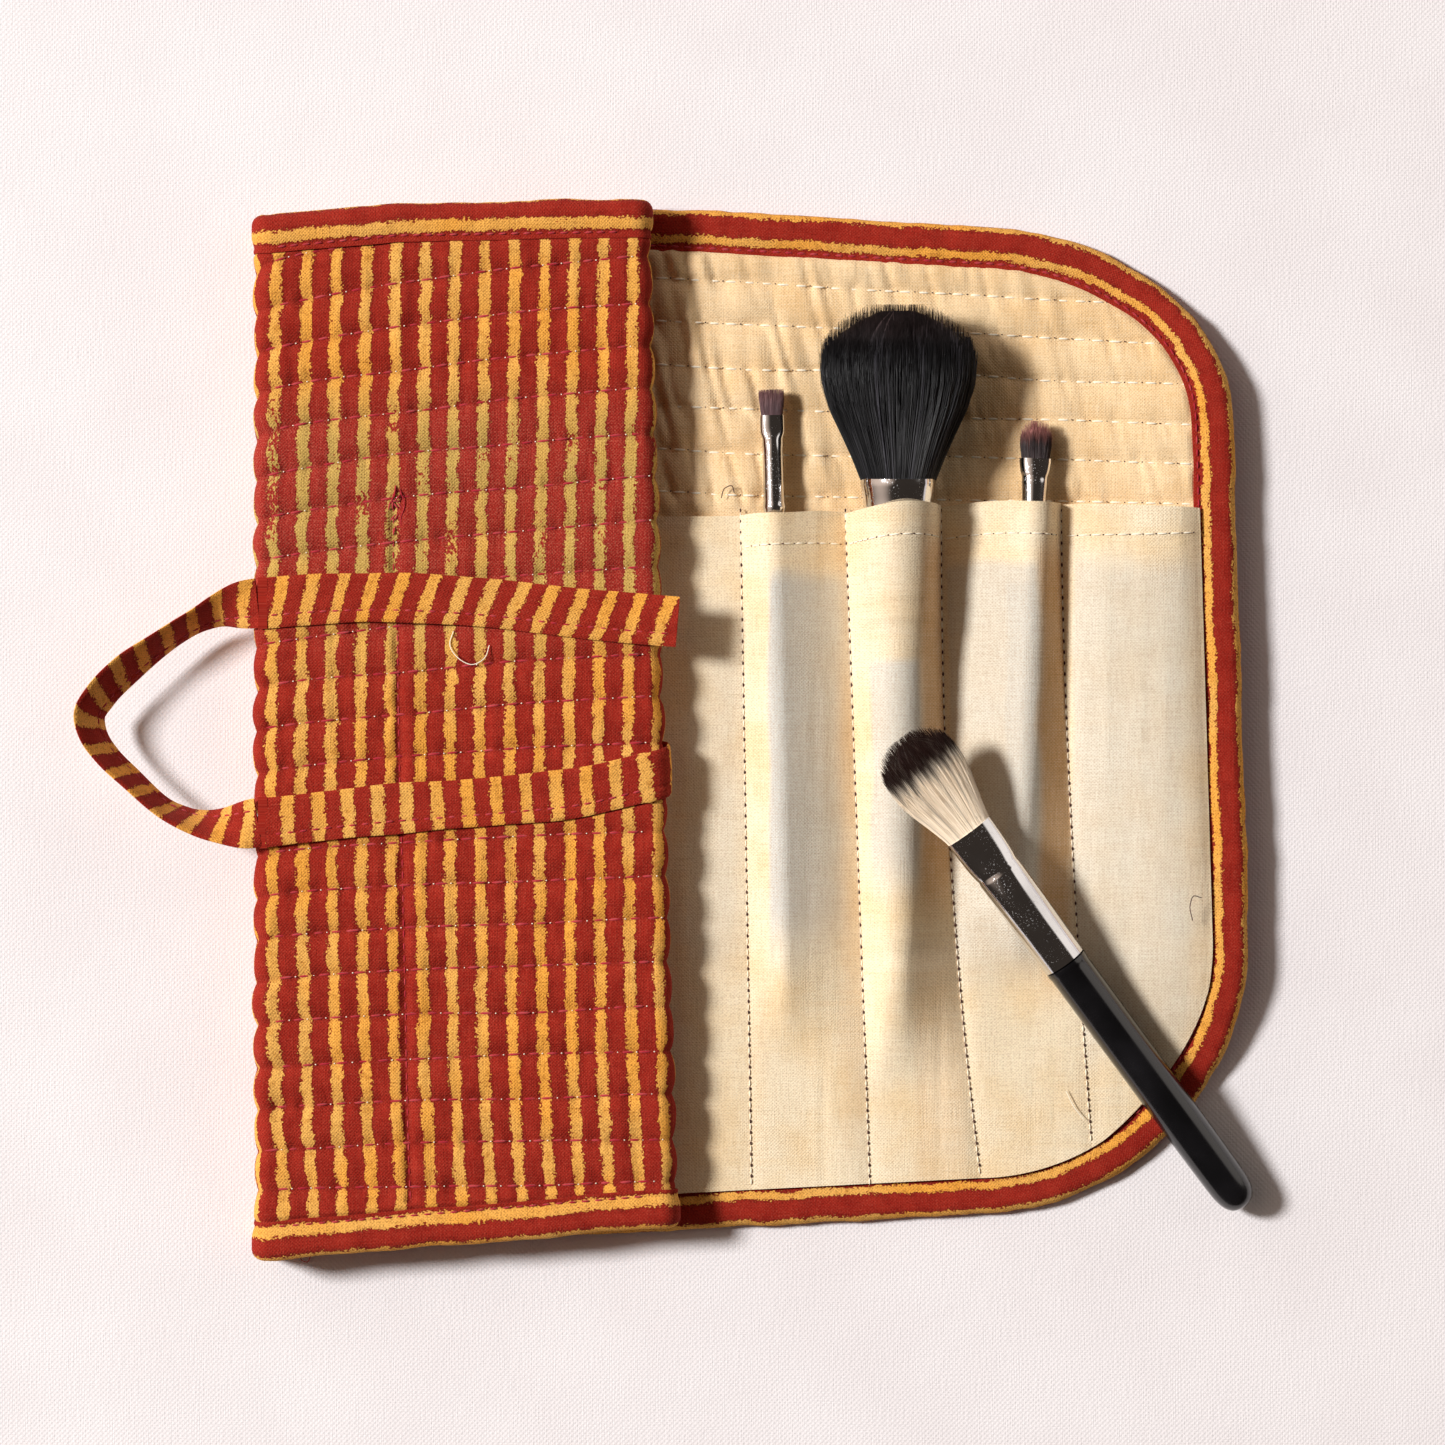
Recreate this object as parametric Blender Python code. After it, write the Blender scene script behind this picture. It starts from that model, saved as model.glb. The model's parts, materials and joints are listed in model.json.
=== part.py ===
"""A quilted cotton brush roll case, lying open on its right and folded in twice on its left.

The sheet is outer cloth, batting and lining, bound round its edge. A pocket cloth sewn over the
lining holds three brushes, a fourth brush lies on top, and a cloth tie is sewn to the sheet's end.
+X is to the right, +Y to the pockets' mouths, +Z up. The origin is on the underside of the sheet.
"""

import math

import bmesh
import bpy
from mathutils import Vector

MM = 0.001

# The quilted sheet. Its layers are stated from the lining's face down.
SHEET = 3.6 * MM
CLOTH = 0.5 * MM
GAP = 0.3 * MM
CUT_GAP = 0.15 * MM
BINDING_WIDTH = 8.5 * MM
EDGE_NEAR = 9.0 * MM
EDGE_FAR = 10.0 * MM
EDGE_GAP = 1.0 * MM
BATTING_LOW, BATTING_HIGH = -2.8 * MM, -0.8 * MM
EDGE_STEP = 0.8 * MM

# Where the sheet is folded. Each fold is two right-angle bends at the lining's face.
LEFT_FOLD_X = -109.3 * MM
LEFT_FOLD_RISE = 8.0 * MM
RIGHT_FOLD_RISE = 2.0 * MM
FLAP_LENGTH = 86.2 * MM
RIGHT_FOLD_LEAN = math.radians(1.59)
END_FLAP_LENGTH = 40.0 * MM

# The open panel: upper and lower edges at the fold, and the two rounded corners.
LEFT_TOP, LEFT_BOTTOM = 114.8 * MM, -122.8 * MM
TOP_CREST = (-22.0 * MM, 117.0 * MM)
TOP_CORNER = (50.5 * MM, 68.0 * MM, 60.0 * MM, 45.0 * MM)
BOTTOM_CORNER = (52.0 * MM, -51.0 * MM, 62.0 * MM, 62.0 * MM)
BOTTOM_BEND = (-16.0 * MM, -116.5 * MM)
CORNER_STEPS = 12

# The flap's corners at the right fold, and the end flap that is folded under it.
FLAP_TOP, FLAP_BOTTOM = 118.4 * MM, -115.5 * MM
FLAP_TOP_BEND = (-29.0 * MM, 117.6 * MM)
END_TOP, END_BOTTOM = 117.6 * MM, -115.2 * MM
END_CORNER = (32.0 * MM, 40.0 * MM)

# The pocket cloth and its seams: x at the mouth, drift to the bottom, and how late it drifts.
POCKET_TOP = 49.0 * MM
POCKET_BOTTOM = -104.0 * MM
POCKET_END_ON_FLAP = 29.3 * MM
POCKET_CORNER = 1.2 * MM
FLAP_POCKET_INSET = 1.5 * MM
SEAMS = (
    (-2.0 * MM, 2.5 * MM, 1.0),
    (22.0 * MM, 5.6 * MM, 1.0),
    (44.0 * MM, 9.0 * MM, 2.2),
    (71.5 * MM, 7.5 * MM, 1.6),
)
SEAM_CLEAR = 0.8 * MM
THREAD_WIDTH = 0.8 * MM
THREAD_HEIGHT = 0.6 * MM
POCKET_MARGIN = 9.6 * MM
EMPTY_POCKET_RISE = 6.0 * MM
# The empty pocket's arch keeps its full height over this much more than its upper part.
EMPTY_POCKET_HOLD = 1.45
# Below a brush's end, less its rounded last stretch, the pocket cloth falls flat.
END_TAPER = 6.0 * MM
POCKET_FALL_START = 2.0 * MM
POCKET_FALL = 24.0 * MM
POCKET_ROWS = 16
FLAT_COLUMNS = 10
# Keeps the arcsine and the square root of a nearly full share of a circle in range.
NEARLY_FULL = 0.98

# The tie, a strip folded into four layers.
TIE_WIDTH = 11.4 * MM
TIE_THICK = 1.0 * MM
TIE_LIFT = 0.8 * MM
TIE_HINGE_RISE = 0.9 * MM
TIE_HINGE_X = -110.65 * MM

ROUND_SIDES = 20
SHARP_EDGE = math.radians(40)


def material(name, colour, roughness, metallic=0.0):
    made = bpy.data.materials.new(name)
    made.use_nodes = True
    shader = made.node_tree.nodes["Principled BSDF"]
    shader.inputs["Base Color"].default_value = (*colour, 1.0)
    shader.inputs["Roughness"].default_value = roughness
    shader.inputs["Metallic"].default_value = metallic
    return made


def clear_scene():
    for old in list(bpy.data.objects):
        bpy.data.objects.remove(old, do_unlink=True)


def empty(name, parent, location, rotation=(0.0, 0.0, 0.0)):
    """An empty on a fold's or a brush's axis."""
    made = bpy.data.objects.new(name, None)
    made.location = location
    made.rotation_euler = rotation
    made.parent = parent
    bpy.context.scene.collection.objects.link(made)
    return made


def finish(name, shape, parent, look, smooth=False):
    """Turns a bmesh into an object under its parent, with its faces pointing out."""
    bmesh.ops.recalc_face_normals(shape, faces=shape.faces)
    mesh = bpy.data.meshes.new(name)
    shape.to_mesh(mesh)
    shape.free()
    if smooth:
        mesh.shade_smooth()
        mesh.set_sharp_from_angle(angle=SHARP_EDGE)
    mesh.materials.append(look)
    made = bpy.data.objects.new(name, mesh)
    made.parent = parent
    bpy.context.scene.collection.objects.link(made)
    return made


def loft(rings, closed=False):
    """A solid through rings of points: capped at both ends, or joined end to start."""
    shape = bmesh.new()
    rows = [[shape.verts.new(point) for point in ring] for ring in rings]
    pairs = list(zip(rows, rows[1:]))
    if closed:
        pairs.append((rows[-1], rows[0]))
    for near, far in pairs:
        for i in range(len(near)):
            j = (i + 1) % len(near)
            shape.faces.new((near[i], near[j], far[j], far[i]))
    if not closed:
        shape.faces.new(rows[0])
        shape.faces.new(rows[-1])
    return shape


def grid_solid(upper, lower):
    """A thin solid between two grids of points with the same rows and columns."""
    shape = bmesh.new()
    top = [[shape.verts.new(point) for point in row] for row in upper]
    low = [[shape.verts.new(point) for point in row] for row in lower]
    rows, columns = len(top), len(top[0])
    for i in range(rows - 1):
        for j in range(columns - 1):
            shape.faces.new((top[i][j], top[i][j + 1], top[i + 1][j + 1], top[i + 1][j]))
            shape.faces.new((low[i][j], low[i + 1][j], low[i + 1][j + 1], low[i][j + 1]))
    for i in range(rows - 1):
        for j in (0, columns - 1):
            shape.faces.new((top[i][j], top[i + 1][j], low[i + 1][j], low[i][j]))
    for j in range(columns - 1):
        for i in (0, rows - 1):
            shape.faces.new((top[i][j], top[i][j + 1], low[i][j + 1], low[i][j]))
    return shape


def arc(corner, start, end, steps=CORNER_STEPS):
    """Points on a quarter of an ellipse, from one angle in degrees to another."""
    x, y, wide, high = corner
    angles = [math.radians(start + (end - start) * i / steps) for i in range(steps + 1)]
    return [(x + wide * math.cos(a), y + high * math.sin(a)) for a in angles]


def bound_edge(points, first_slide, last_slide):
    """Pairs of point and inward direction along an edge with the sheet on its right."""
    pairs = []
    for i, (x, y) in enumerate(points):
        before = points[max(i - 1, 0)]
        after = points[min(i + 1, len(points) - 1)]
        along = Vector((after[0] - before[0], after[1] - before[1])).normalized()
        pairs.append(((x, y), (along.y, -along.x)))
    pairs[0] = (points[0], first_slide)
    pairs[-1] = (points[-1], last_slide)
    return pairs


def row_at(edge, inset, z):
    return [(x + inset * inward_x, y + inset * inward_y, z) for (x, y), (inward_x, inward_y) in edge]


def layer(name, edges, low, high, low_shift, high_shift, parent, look):
    """One layer of the sheet between its bound edges, in order round it, and the straight cuts
    that join their ends. Its rim is shifted up or down, to lie inside the binding."""
    profile = [
        (EDGE_FAR, low),
        (EDGE_NEAR, low + low_shift),
        (EDGE_GAP, low + low_shift),
        (EDGE_GAP, high + high_shift),
        (EDGE_NEAR, high + high_shift),
        (EDGE_FAR, high),
    ]
    shape = bmesh.new()
    bands = [
        [[shape.verts.new(point) for point in row_at(edge, inset, z)] for inset, z in profile]
        for edge in edges
    ]
    for rows in bands:
        for near, far in zip(rows, rows[1:]):
            for i in range(len(near) - 1):
                shape.faces.new((near[i], near[i + 1], far[i + 1], far[i]))
    for level in (0, -1):
        shape.faces.new([vert for rows in bands for vert in rows[level]])
    for rows, after in zip(bands, bands[1:] + bands[:1]):
        shape.faces.new([row[-1] for row in rows] + [row[0] for row in reversed(after)])
    return finish(name, shape, parent, look)


def sheet_layers(prefix, edges, parent, looks):
    """The three layers of one stretch of the sheet."""
    step = EDGE_STEP
    layer(prefix + "_outer_shell", edges, -SHEET, -SHEET + CLOTH, step, step, parent, looks["print"])
    layer(prefix + "_batting", edges, BATTING_LOW, BATTING_HIGH, step, -step, parent, looks["batting"])
    layer(prefix + "_lining", edges, -CLOTH, 0.0, -step, -step, parent, looks["lining"])


def binding(name, edge, parent, look):
    """The folded strip that closes an edge, open towards the sheet."""
    section = [
        (0.0, -SHEET),
        (BINDING_WIDTH, -SHEET),
        (BINDING_WIDTH, -SHEET + CLOTH),
        (CLOTH, -SHEET + CLOTH),
        (CLOTH, -CLOTH),
        (BINDING_WIDTH, -CLOTH),
        (BINDING_WIDTH, 0.0),
        (0.0, 0.0),
    ]
    rings = [
        [(x + inset * ix, y + inset * iy, z) for inset, z in section] for (x, y), (ix, iy) in edge
    ]
    return finish(name, loft(rings), parent, look)


def base_edge():
    points = [(LEFT_FOLD_X + CUT_GAP, LEFT_TOP), TOP_CREST]
    points += arc(TOP_CORNER, 90, 0)
    points += arc(BOTTOM_CORNER, 0, -90)
    points += [BOTTOM_BEND, (LEFT_FOLD_X + CUT_GAP, LEFT_BOTTOM)]
    return bound_edge(points, (0, -1), (0, 1))


def strip_edges(length, bottom, top):
    """Lower and upper bound edges of a straight stretch between two right-angle bends."""
    ends = (-CUT_GAP, -length / 2, -length + CUT_GAP)
    lower = bound_edge([(x, bottom) for x in ends], (0, 1), (0, 1))
    upper = bound_edge([(x, top) for x in reversed(ends)], (0, -1), (0, -1))
    return lower, upper


def flap_edges():
    lean = math.tan(RIGHT_FOLD_LEAN)
    slide = (math.sin(RIGHT_FOLD_LEAN), math.cos(RIGHT_FOLD_LEAN))
    lower = bound_edge(
        [
            (-CUT_GAP, LEFT_BOTTOM),
            (-FLAP_LENGTH + CUT_GAP + lean * FLAP_BOTTOM, FLAP_BOTTOM),
        ],
        (0, 1),
        slide,
    )
    upper = bound_edge(
        [
            (-FLAP_LENGTH + CUT_GAP + lean * FLAP_TOP, FLAP_TOP),
            FLAP_TOP_BEND,
            (-CUT_GAP, LEFT_TOP),
        ],
        (-slide[0], -slide[1]),
        (0, -1),
    )
    return lower, upper


def end_flap_edge():
    wide, high = END_CORNER
    low_corner = (-END_FLAP_LENGTH + wide, END_BOTTOM + high, wide, high)
    high_corner = (-END_FLAP_LENGTH + wide, END_TOP - high, wide, high)
    points = [(-CUT_GAP, END_BOTTOM)]
    points += arc(low_corner, 270, 180)
    points += arc(high_corner, 180, 90)
    points += [(-CUT_GAP, END_TOP)]
    return bound_edge(points, (0, 1), (0, -1))


def make_base(frame, looks):
    edge = base_edge()
    sheet_layers("base", [edge], frame, looks)
    binding("base_binding", edge, frame, looks["binding"])


def make_strip(prefix, lower, upper, frame, looks):
    """A stretch of the sheet with binding along its upper and lower ends."""
    sheet_layers(prefix, [lower, upper], frame, looks)
    binding(prefix + "_binding_lower", lower, frame, looks["binding"])
    binding(prefix + "_binding_upper", upper, frame, looks["binding"])


def make_end_flap(frame, looks):
    edge = end_flap_edge()
    sheet_layers("end_flap", [edge], frame, looks)
    binding("end_flap_binding", edge, frame, looks["binding"])


def seam_x(seam, y):
    """A seam's x at a height, in metres."""
    top, drift, power = seam
    down = min(max((POCKET_TOP - y) / (POCKET_TOP - POCKET_BOTTOM), 0.0), 1.0)
    return top + drift * down**power


def pocket_left(number, y):
    if number == 1:
        return LEFT_FOLD_X + POCKET_CORNER
    return seam_x(SEAMS[number - 2], y) + SEAM_CLEAR


def pocket_right(number, y):
    """The seam on a pocket's right, or the binding beside the last pocket."""
    if number <= len(SEAMS):
        return seam_x(SEAMS[number - 1], y) - SEAM_CLEAR
    if y > BOTTOM_CORNER[1]:
        rise = (y - BOTTOM_CORNER[1]) / (TOP_CORNER[1] - BOTTOM_CORNER[1])
        right = BOTTOM_CORNER[0] + BOTTOM_CORNER[2]
        return right + (TOP_CORNER[0] + TOP_CORNER[2] - right) * rise - POCKET_MARGIN
    down = (y - BOTTOM_CORNER[1]) / BOTTOM_CORNER[3]
    bulge = math.sqrt(max(1.0 - down * down, 0.0))
    return BOTTOM_CORNER[0] + BOTTOM_CORNER[2] * bulge - POCKET_MARGIN


def pocket_point(number, across, down):
    """The x and y of a point of a pocket's cloth, by its share across and down the pocket."""
    left, right = pocket_left(number, 0.0), pocket_right(number, 0.0)
    y = POCKET_TOP + (pocket_bottom(left + (right - left) * across) - POCKET_TOP) * down
    left, right = pocket_left(number, y), pocket_right(number, y)
    return left + (right - left) * across, y


def pocket_bottom(x):
    """The height of the binding's inner edge below a point of the pocket cloth."""
    if x > BOTTOM_CORNER[0]:
        radius = BOTTOM_CORNER[2] - POCKET_MARGIN
        across = min(x - BOTTOM_CORNER[0], radius * NEARLY_FULL)
        return BOTTOM_CORNER[1] - math.sqrt(radius * radius - across * across)
    right_y = BOTTOM_CORNER[1] - BOTTOM_CORNER[3]
    if x > BOTTOM_BEND[0]:
        share = (x - BOTTOM_BEND[0]) / (BOTTOM_CORNER[0] - BOTTOM_BEND[0])
        return BOTTOM_BEND[1] + (right_y - BOTTOM_BEND[1]) * share + POCKET_MARGIN
    share = (x - LEFT_FOLD_X) / (BOTTOM_BEND[0] - LEFT_FOLD_X)
    return LEFT_BOTTOM + (BOTTOM_BEND[1] - LEFT_BOTTOM) * share + POCKET_MARGIN


def tangent_angle(anchor, centre, radius, side):
    """Where cloth from a seam first touches a round brush, as an angle about its axis."""
    across = side * (centre[0] - anchor[0])
    up = centre[1] - anchor[1]
    slope = math.atan2(up, across) + math.asin(min(radius / math.hypot(across, up), NEARLY_FULL))
    return slope + math.pi / 2 if side > 0 else math.pi / 2 - slope


def taut_section(left, right, centre, radius, steps=8):
    """Cloth pulled from one seam over a round brush to the other, as points in x and z."""
    first = tangent_angle(left, centre, radius, 1)
    last = tangent_angle(right, centre, radius, -1)
    points = [left]
    for i in range(steps + 1):
        angle = first + (last - first) * i / steps
        points.append((centre[0] + radius * math.cos(angle), centre[1] + radius * math.sin(angle)))
    points.insert(1, ((left[0] + points[1][0]) / 2, (left[1] + points[1][1]) / 2))
    points.append(((right[0] + points[-1][0]) / 2, (right[1] + points[-1][1]) / 2))
    points.append(right)
    return points


def smooth_step(value):
    value = min(max(value, 0.0), 1.0)
    return value * value * (3 - 2 * value)


def widest_below(stations, s):
    """The largest half width of a brush from a distance below its tip to its end, because all of
    that slides past this height when the brush is drawn out."""
    widest = max(stations[-1][1:])
    for near, far in reversed(list(zip(stations, stations[1:]))):
        if s >= far[0]:
            break
        share = min(max((s - near[0]) / (far[0] - near[0]), 0.0), 1.0)
        here = max(near[1:]) + (max(far[1:]) - max(near[1:])) * share
        widest = max(widest, here, max(far[1:]))
    return widest


def brush_pocket(number, brush, frame, look):
    """Pocket cloth over a brush, tapering flat below the brush's end."""
    upper, lower = [], []
    tip_x, tip_y, tip_z = brush["tip"]
    outline = brush["ferrule"] + brush["handle"][2:]
    end_y = tip_y - brush["length"]
    for i in range(POCKET_ROWS + 1):
        y = pocket_point(number, 0.5, i / POCKET_ROWS)[1]
        s = tip_y - y
        radius = widest_below(outline, min(s, brush["length"] - END_TAPER))
        x = tip_x + s * math.tan(brush["lean"])
        z = tip_z - s * math.tan(brush["pitch"]) - SHEET
        rise = smooth_step(1 - (end_y + POCKET_FALL_START - y) / POCKET_FALL)
        left, right = pocket_left(number, y), pocket_right(number, y)
        sections = []
        for floor in (GAP + CLOTH, GAP):
            section = taut_section((left, floor), (right, floor), (x, z), radius + floor)
            sections.append([(px, y, floor + (pz - floor) * rise) for px, pz in section])
        upper.append(sections[0])
        lower.append(sections[1])
    return finish("pocket_panel_%d" % number, grid_solid(upper, lower), frame, look, smooth=True)


def flat_pocket(number, rise, frame, look):
    """A pocket without a brush, arched up by its rise at the mouth and flat at the bottom."""
    upper, lower = [], []
    for i in range(POCKET_ROWS + 1):
        down = i / POCKET_ROWS
        high_row, low_row = [], []
        for j in range(FLAT_COLUMNS + 1):
            across = j / FLAT_COLUMNS
            x, y = pocket_point(number, across, down)
            arch = 1 - abs(2 * across - 1) ** 3
            lift = rise * arch * smooth_step(EMPTY_POCKET_HOLD * (1 - down))
            high_row.append((x, y, GAP + CLOTH + lift))
            low_row.append((x, y, GAP + lift))
        upper.append(high_row)
        lower.append(low_row)
    return finish("pocket_panel_%d" % number, grid_solid(upper, lower), frame, look, smooth=True)


def divider_stitching(number, frame, look):
    """The thread of one seam between two pockets, lying in the groove between their cloths."""
    seam = SEAMS[number - 1]
    upper, lower = [], []
    bottom = pocket_bottom(seam_x(seam, POCKET_BOTTOM))
    for i in range(POCKET_ROWS + 1):
        y = POCKET_TOP + (bottom - POCKET_TOP) * i / POCKET_ROWS
        x = seam_x(seam, y)
        ends = (x - THREAD_WIDTH / 2, x + THREAD_WIDTH / 2)
        upper.append([(end, y, GAP + THREAD_HEIGHT) for end in ends])
        lower.append([(end, y, GAP) for end in ends])
    return finish("divider_stitching_%d" % number, grid_solid(upper, lower), frame, look)


def pocket_strip(name, near_x, far_x, bottom, frame, look):
    """A flat stretch of pocket cloth on the fold or on the flap's lining."""
    upper, lower = [], []
    for y in (bottom, POCKET_TOP):
        upper.append([(x, y, GAP + CLOTH) for x in (far_x, near_x)])
        lower.append([(x, y, GAP) for x in (far_x, near_x)])
    return finish(name, grid_solid(upper, lower), frame, look)


def make_pockets(frame, looks, brushes):
    flat_pocket(1, 0.0, frame, looks["pocket"])
    for number, key in ((2, "flat_brush"), (3, "powder_brush"), (4, "dome_brush")):
        brush_pocket(number, brushes[key], frame, looks["pocket"])
    flat_pocket(5, EMPTY_POCKET_RISE, frame, looks["pocket"])
    for number in range(1, len(SEAMS) + 1):
        divider_stitching(number, frame, looks["thread"])


def ribbon(name, route, parent, look):
    """A flat strip along a route of (x, y, z, tilt), in the world's frame, tilt turning it on edge."""
    to_parent = parent.matrix_world.inverted()
    rings = []
    centres = [Vector(stop[:3]) for stop in route]
    for i, stop in enumerate(route):
        along = centres[min(i + 1, len(route) - 1)] - centres[max(i - 1, 0)]
        flat = Vector((along.y, -along.x, 0.0)).normalized()
        side = flat * math.cos(stop[3]) + Vector((0, 0, 1)) * math.sin(stop[3])
        up = side.cross(along.normalized()).normalized()
        half, thick = side * TIE_WIDTH / 2, up * TIE_THICK / 2
        corners = (half + thick, half - thick, -half - thick, -half + thick)
        rings.append([to_parent @ (centres[i] + corner) for corner in corners])
    return finish(name, loft(rings), parent, look)


def oval(s, half_width, half_thick):
    """One ring of a brush, at a distance from its tip down the local -Y."""
    angles = [2 * math.pi * i / ROUND_SIDES for i in range(ROUND_SIDES)]
    return [(half_width * math.cos(a), -s, half_thick * math.sin(a)) for a in angles]


def solid_of_turning(stations):
    return loft([oval(*station) for station in stations])


def ferrule_tube(stations, wall):
    """The metal sleeve, open at both ends."""
    outer = [oval(*station) for station in stations]
    inner = [oval(s, w - wall, t - wall) for s, w, t in reversed(stations)]
    return loft(outer + inner, closed=True)


def scaled(stations):
    return [(s * MM, w * MM, t * MM) for s, w, t in stations]


def round_stations(pairs):
    return scaled([(s, r, r) for s, r in pairs])


def brush_designs():
    """Each brush: where its tip lies, how it leans, and half widths from the tip down."""
    return {
        "flat_brush": {
            "tip": (5.0 * MM, 75.7 * MM, 7.4 * MM),
            "lean": math.radians(1.6),
            "pitch": 0.0,
            "length": 128.6 * MM,
            "wall": 0.35 * MM,
            "bristles": scaled(
                [(0, 2.5, 0.45), (0.9, 2.85, 0.9), (5.4, 2.6, 1.2), (5.7, 2.05, 0.85), (8.5, 2.0, 0.8)]
            ),
            "ferrule": scaled(
                [(6, 2.75, 1.5), (10, 2.75, 1.55), (11.3, 2.35, 1.85), (14, 2.35, 2.3), (40, 2.55, 2.55)]
            ),
            "handle": round_stations(
                [(30, 1.9), (40.1, 1.9), (40.4, 2.6), (44, 3.1), (60, 3.4), (95, 3.2)]
                + [(122, 2.6), (127.5, 1.6), (128.6, 0.5)]
            ),
        },
        "powder_brush": {
            "tip": (34.0 * MM, 94.8 * MM, 14.6 * MM),
            "lean": 0.0,
            "pitch": math.radians(2.4),
            "length": 154.5 * MM,
            "wall": 0.4 * MM,
            "bristles": scaled(
                [(0, 5, 2.5), (2.8, 11.5, 5.5), (7.4, 16.1, 7.6), (13.1, 17.8, 8.5), (21, 16.8, 8.6)]
                + [(30, 12.9, 8.3), (39.2, 8.9, 8.2), (39.5, 7.0, 7.0), (46, 6.9, 6.9)]
            ),
            "ferrule": round_stations([(39.8, 8.6), (41, 8.6), (46, 7.9), (79.8, 5.7)]),
            "handle": round_stations(
                [(66, 4.85), (79.9, 4.85), (80.2, 5.6), (84, 5.6), (110, 5.3), (145, 4.6)]
                + [(152, 3.4), (154.5, 1.0)]
            ),
        },
        "dome_brush": {
            "tip": (65.8 * MM, 68.5 * MM, 7.8 * MM),
            "lean": math.radians(-2.1),
            "pitch": 0.0,
            "length": 105.3 * MM,
            "wall": 0.35 * MM,
            "bristles": scaled(
                [(0, 1.4, 0.7), (1.2, 2.6, 1.3), (4, 3.6, 1.9), (8.1, 3.3, 1.8)]
                + [(8.4, 2.6, 1.4), (12, 2.55, 1.5)]
            ),
            "ferrule": scaled(
                [(8.7, 3.65, 2.2), (12, 3.3, 2.3), (12.9, 3.0, 2.3), (14, 3.0, 2.5), (18, 2.85, 2.7)]
                + [(35.2, 2.75, 2.75)]
            ),
            "handle": round_stations(
                [(27, 2.05), (35.3, 2.05), (35.6, 2.8), (39, 3.4), (52, 3.75), (80, 3.5), (98, 2.9)]
                + [(104, 1.9), (105.3, 0.6)]
            ),
        },
        "foundation_brush": {
            "tip": (34.3 * MM, -4.1 * MM, 22.2 * MM),
            "lean": math.radians(36.4),
            "pitch": math.radians(7.2),
            "length": 134.4 * MM,
            "wall": 0.4 * MM,
            "bristles": scaled(
                [(0, 3, 1.2), (2, 6.5, 2.4), (5, 8.6, 3.2), (9, 9.2, 3.7), (14, 8.8, 3.7)]
                + [(20, 7.2, 3.2), (25.9, 5.7, 2.6), (26.2, 4.9, 2.1), (33, 4.8, 2.4)]
            ),
            "ferrule": scaled(
                [(26.5, 5.75, 2.9), (34, 5.6, 3.3), (36.9, 5.3, 3.6), (38.5, 5.35, 4.0)]
                + [(50, 5.3, 5.0), (63.8, 5.15, 5.15)]
            ),
            "handle": round_stations(
                [(52, 4.2), (63.9, 4.2), (64.2, 5.1), (66, 5.0), (100, 4.95), (126, 4.8)]
                + [(131, 4.3), (133.6, 2.8), (134.4, 0.9)]
            ),
        },
    }


def make_brush(name, design, looks):
    """Bristles, ferrule and handle, on an axis that runs towards the tip."""
    axis = empty(name + "_axis", None, design["tip"], (design["pitch"], 0.0, design["lean"]))
    finish(name + "_bristles", solid_of_turning(design["bristles"]), axis, looks[name], smooth=True)
    ferrule = ferrule_tube(design["ferrule"], design["wall"])
    finish(name + "_ferrule", ferrule, axis, looks["chrome"], smooth=True)
    handle = solid_of_turning(design["handle"])
    finish(name + "_handle", handle, axis, looks["lacquer"], smooth=True)


def on_flap(x, y, lift=0.0):
    """A stop of the tie's route on top of the flap, from millimetres."""
    z = SHEET + LEFT_FOLD_RISE + SHEET + TIE_LIFT + lift * MM
    return (x * MM, y * MM, z, 0.0)


def make_tie(frames, look):
    """The tie: sewn under the end flap, round the right fold, over the flap, and looped back."""
    lower_run = [
        on_flap(-110.0, -23.4),
        on_flap(-84.9, -20.6),
        on_flap(-56.8, -18.4),
        on_flap(-38.0, -16.4),
        on_flap(-24.0, -13.2),
    ]
    ribbon("tie_lower_run", lower_run, frames["flap"], look)
    free_run = [
        on_flap(-110.0, 26.6),
        on_flap(-84.9, 27.9),
        on_flap(-61.4, 26.8),
        on_flap(-38.0, 24.2),
        on_flap(-26.0, 23.1, 0.2),
        on_flap(-16.3, 22.3, 1.2),
    ]
    ribbon("tie_free_run", free_run, frames["flap"], look)
    height = SHEET + LEFT_FOLD_RISE + SHEET + TIE_LIFT
    loop = [
        (-111.9, 26.6, 0.0, 0),
        (-121.4, 25.0, -0.8, 14),
        (-132.3, 19.8, -2.2, 32),
        (-139.6, 14.7, -3.4, 44),
        (-145.4, 10.1, -4.2, 52),
        (-149.7, 5.0, -4.6, 56),
        (-151.0, 1.4, -4.7, 58),
        (-149.7, -2.8, -4.6, 56),
        (-146.1, -8.7, -4.2, 52),
        (-140.3, -14.7, -3.4, 44),
        (-133.5, -19.2, -2.4, 32),
        (-124.5, -22.6, -1.2, 14),
        (-111.9, -23.4, 0.0, 0),
    ]
    route = [(x * MM, y * MM, height + z * MM, math.radians(tilt)) for x, y, z, tilt in loop]
    ribbon("tie_loop", route, frames["tie_loop"], look)
    under = -SHEET - GAP - TIE_THICK / 2
    half_width, half_thick = TIE_WIDTH / 2, TIE_THICK / 2
    wrap = ((-CUT_GAP, -11.2 * MM), (-RIGHT_FOLD_RISE + CUT_GAP, -10.6 * MM))
    inner_run = ((-0.6 * MM, -10.0 * MM), (-39.0 * MM, 0.4 * MM))
    for name, key, stops in (
        ("tie_wrap", "right_fold", wrap),
        ("tie_inner_run", "end_flap", inner_run),
    ):
        rings = []
        for x, y in stops:
            corners = ((1, 1), (1, -1), (-1, -1), (-1, 1))
            rings.append([(x, y + a * half_width, under + b * half_thick) for a, b in corners])
        finish(name, loft(rings), frames[key], look)


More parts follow.
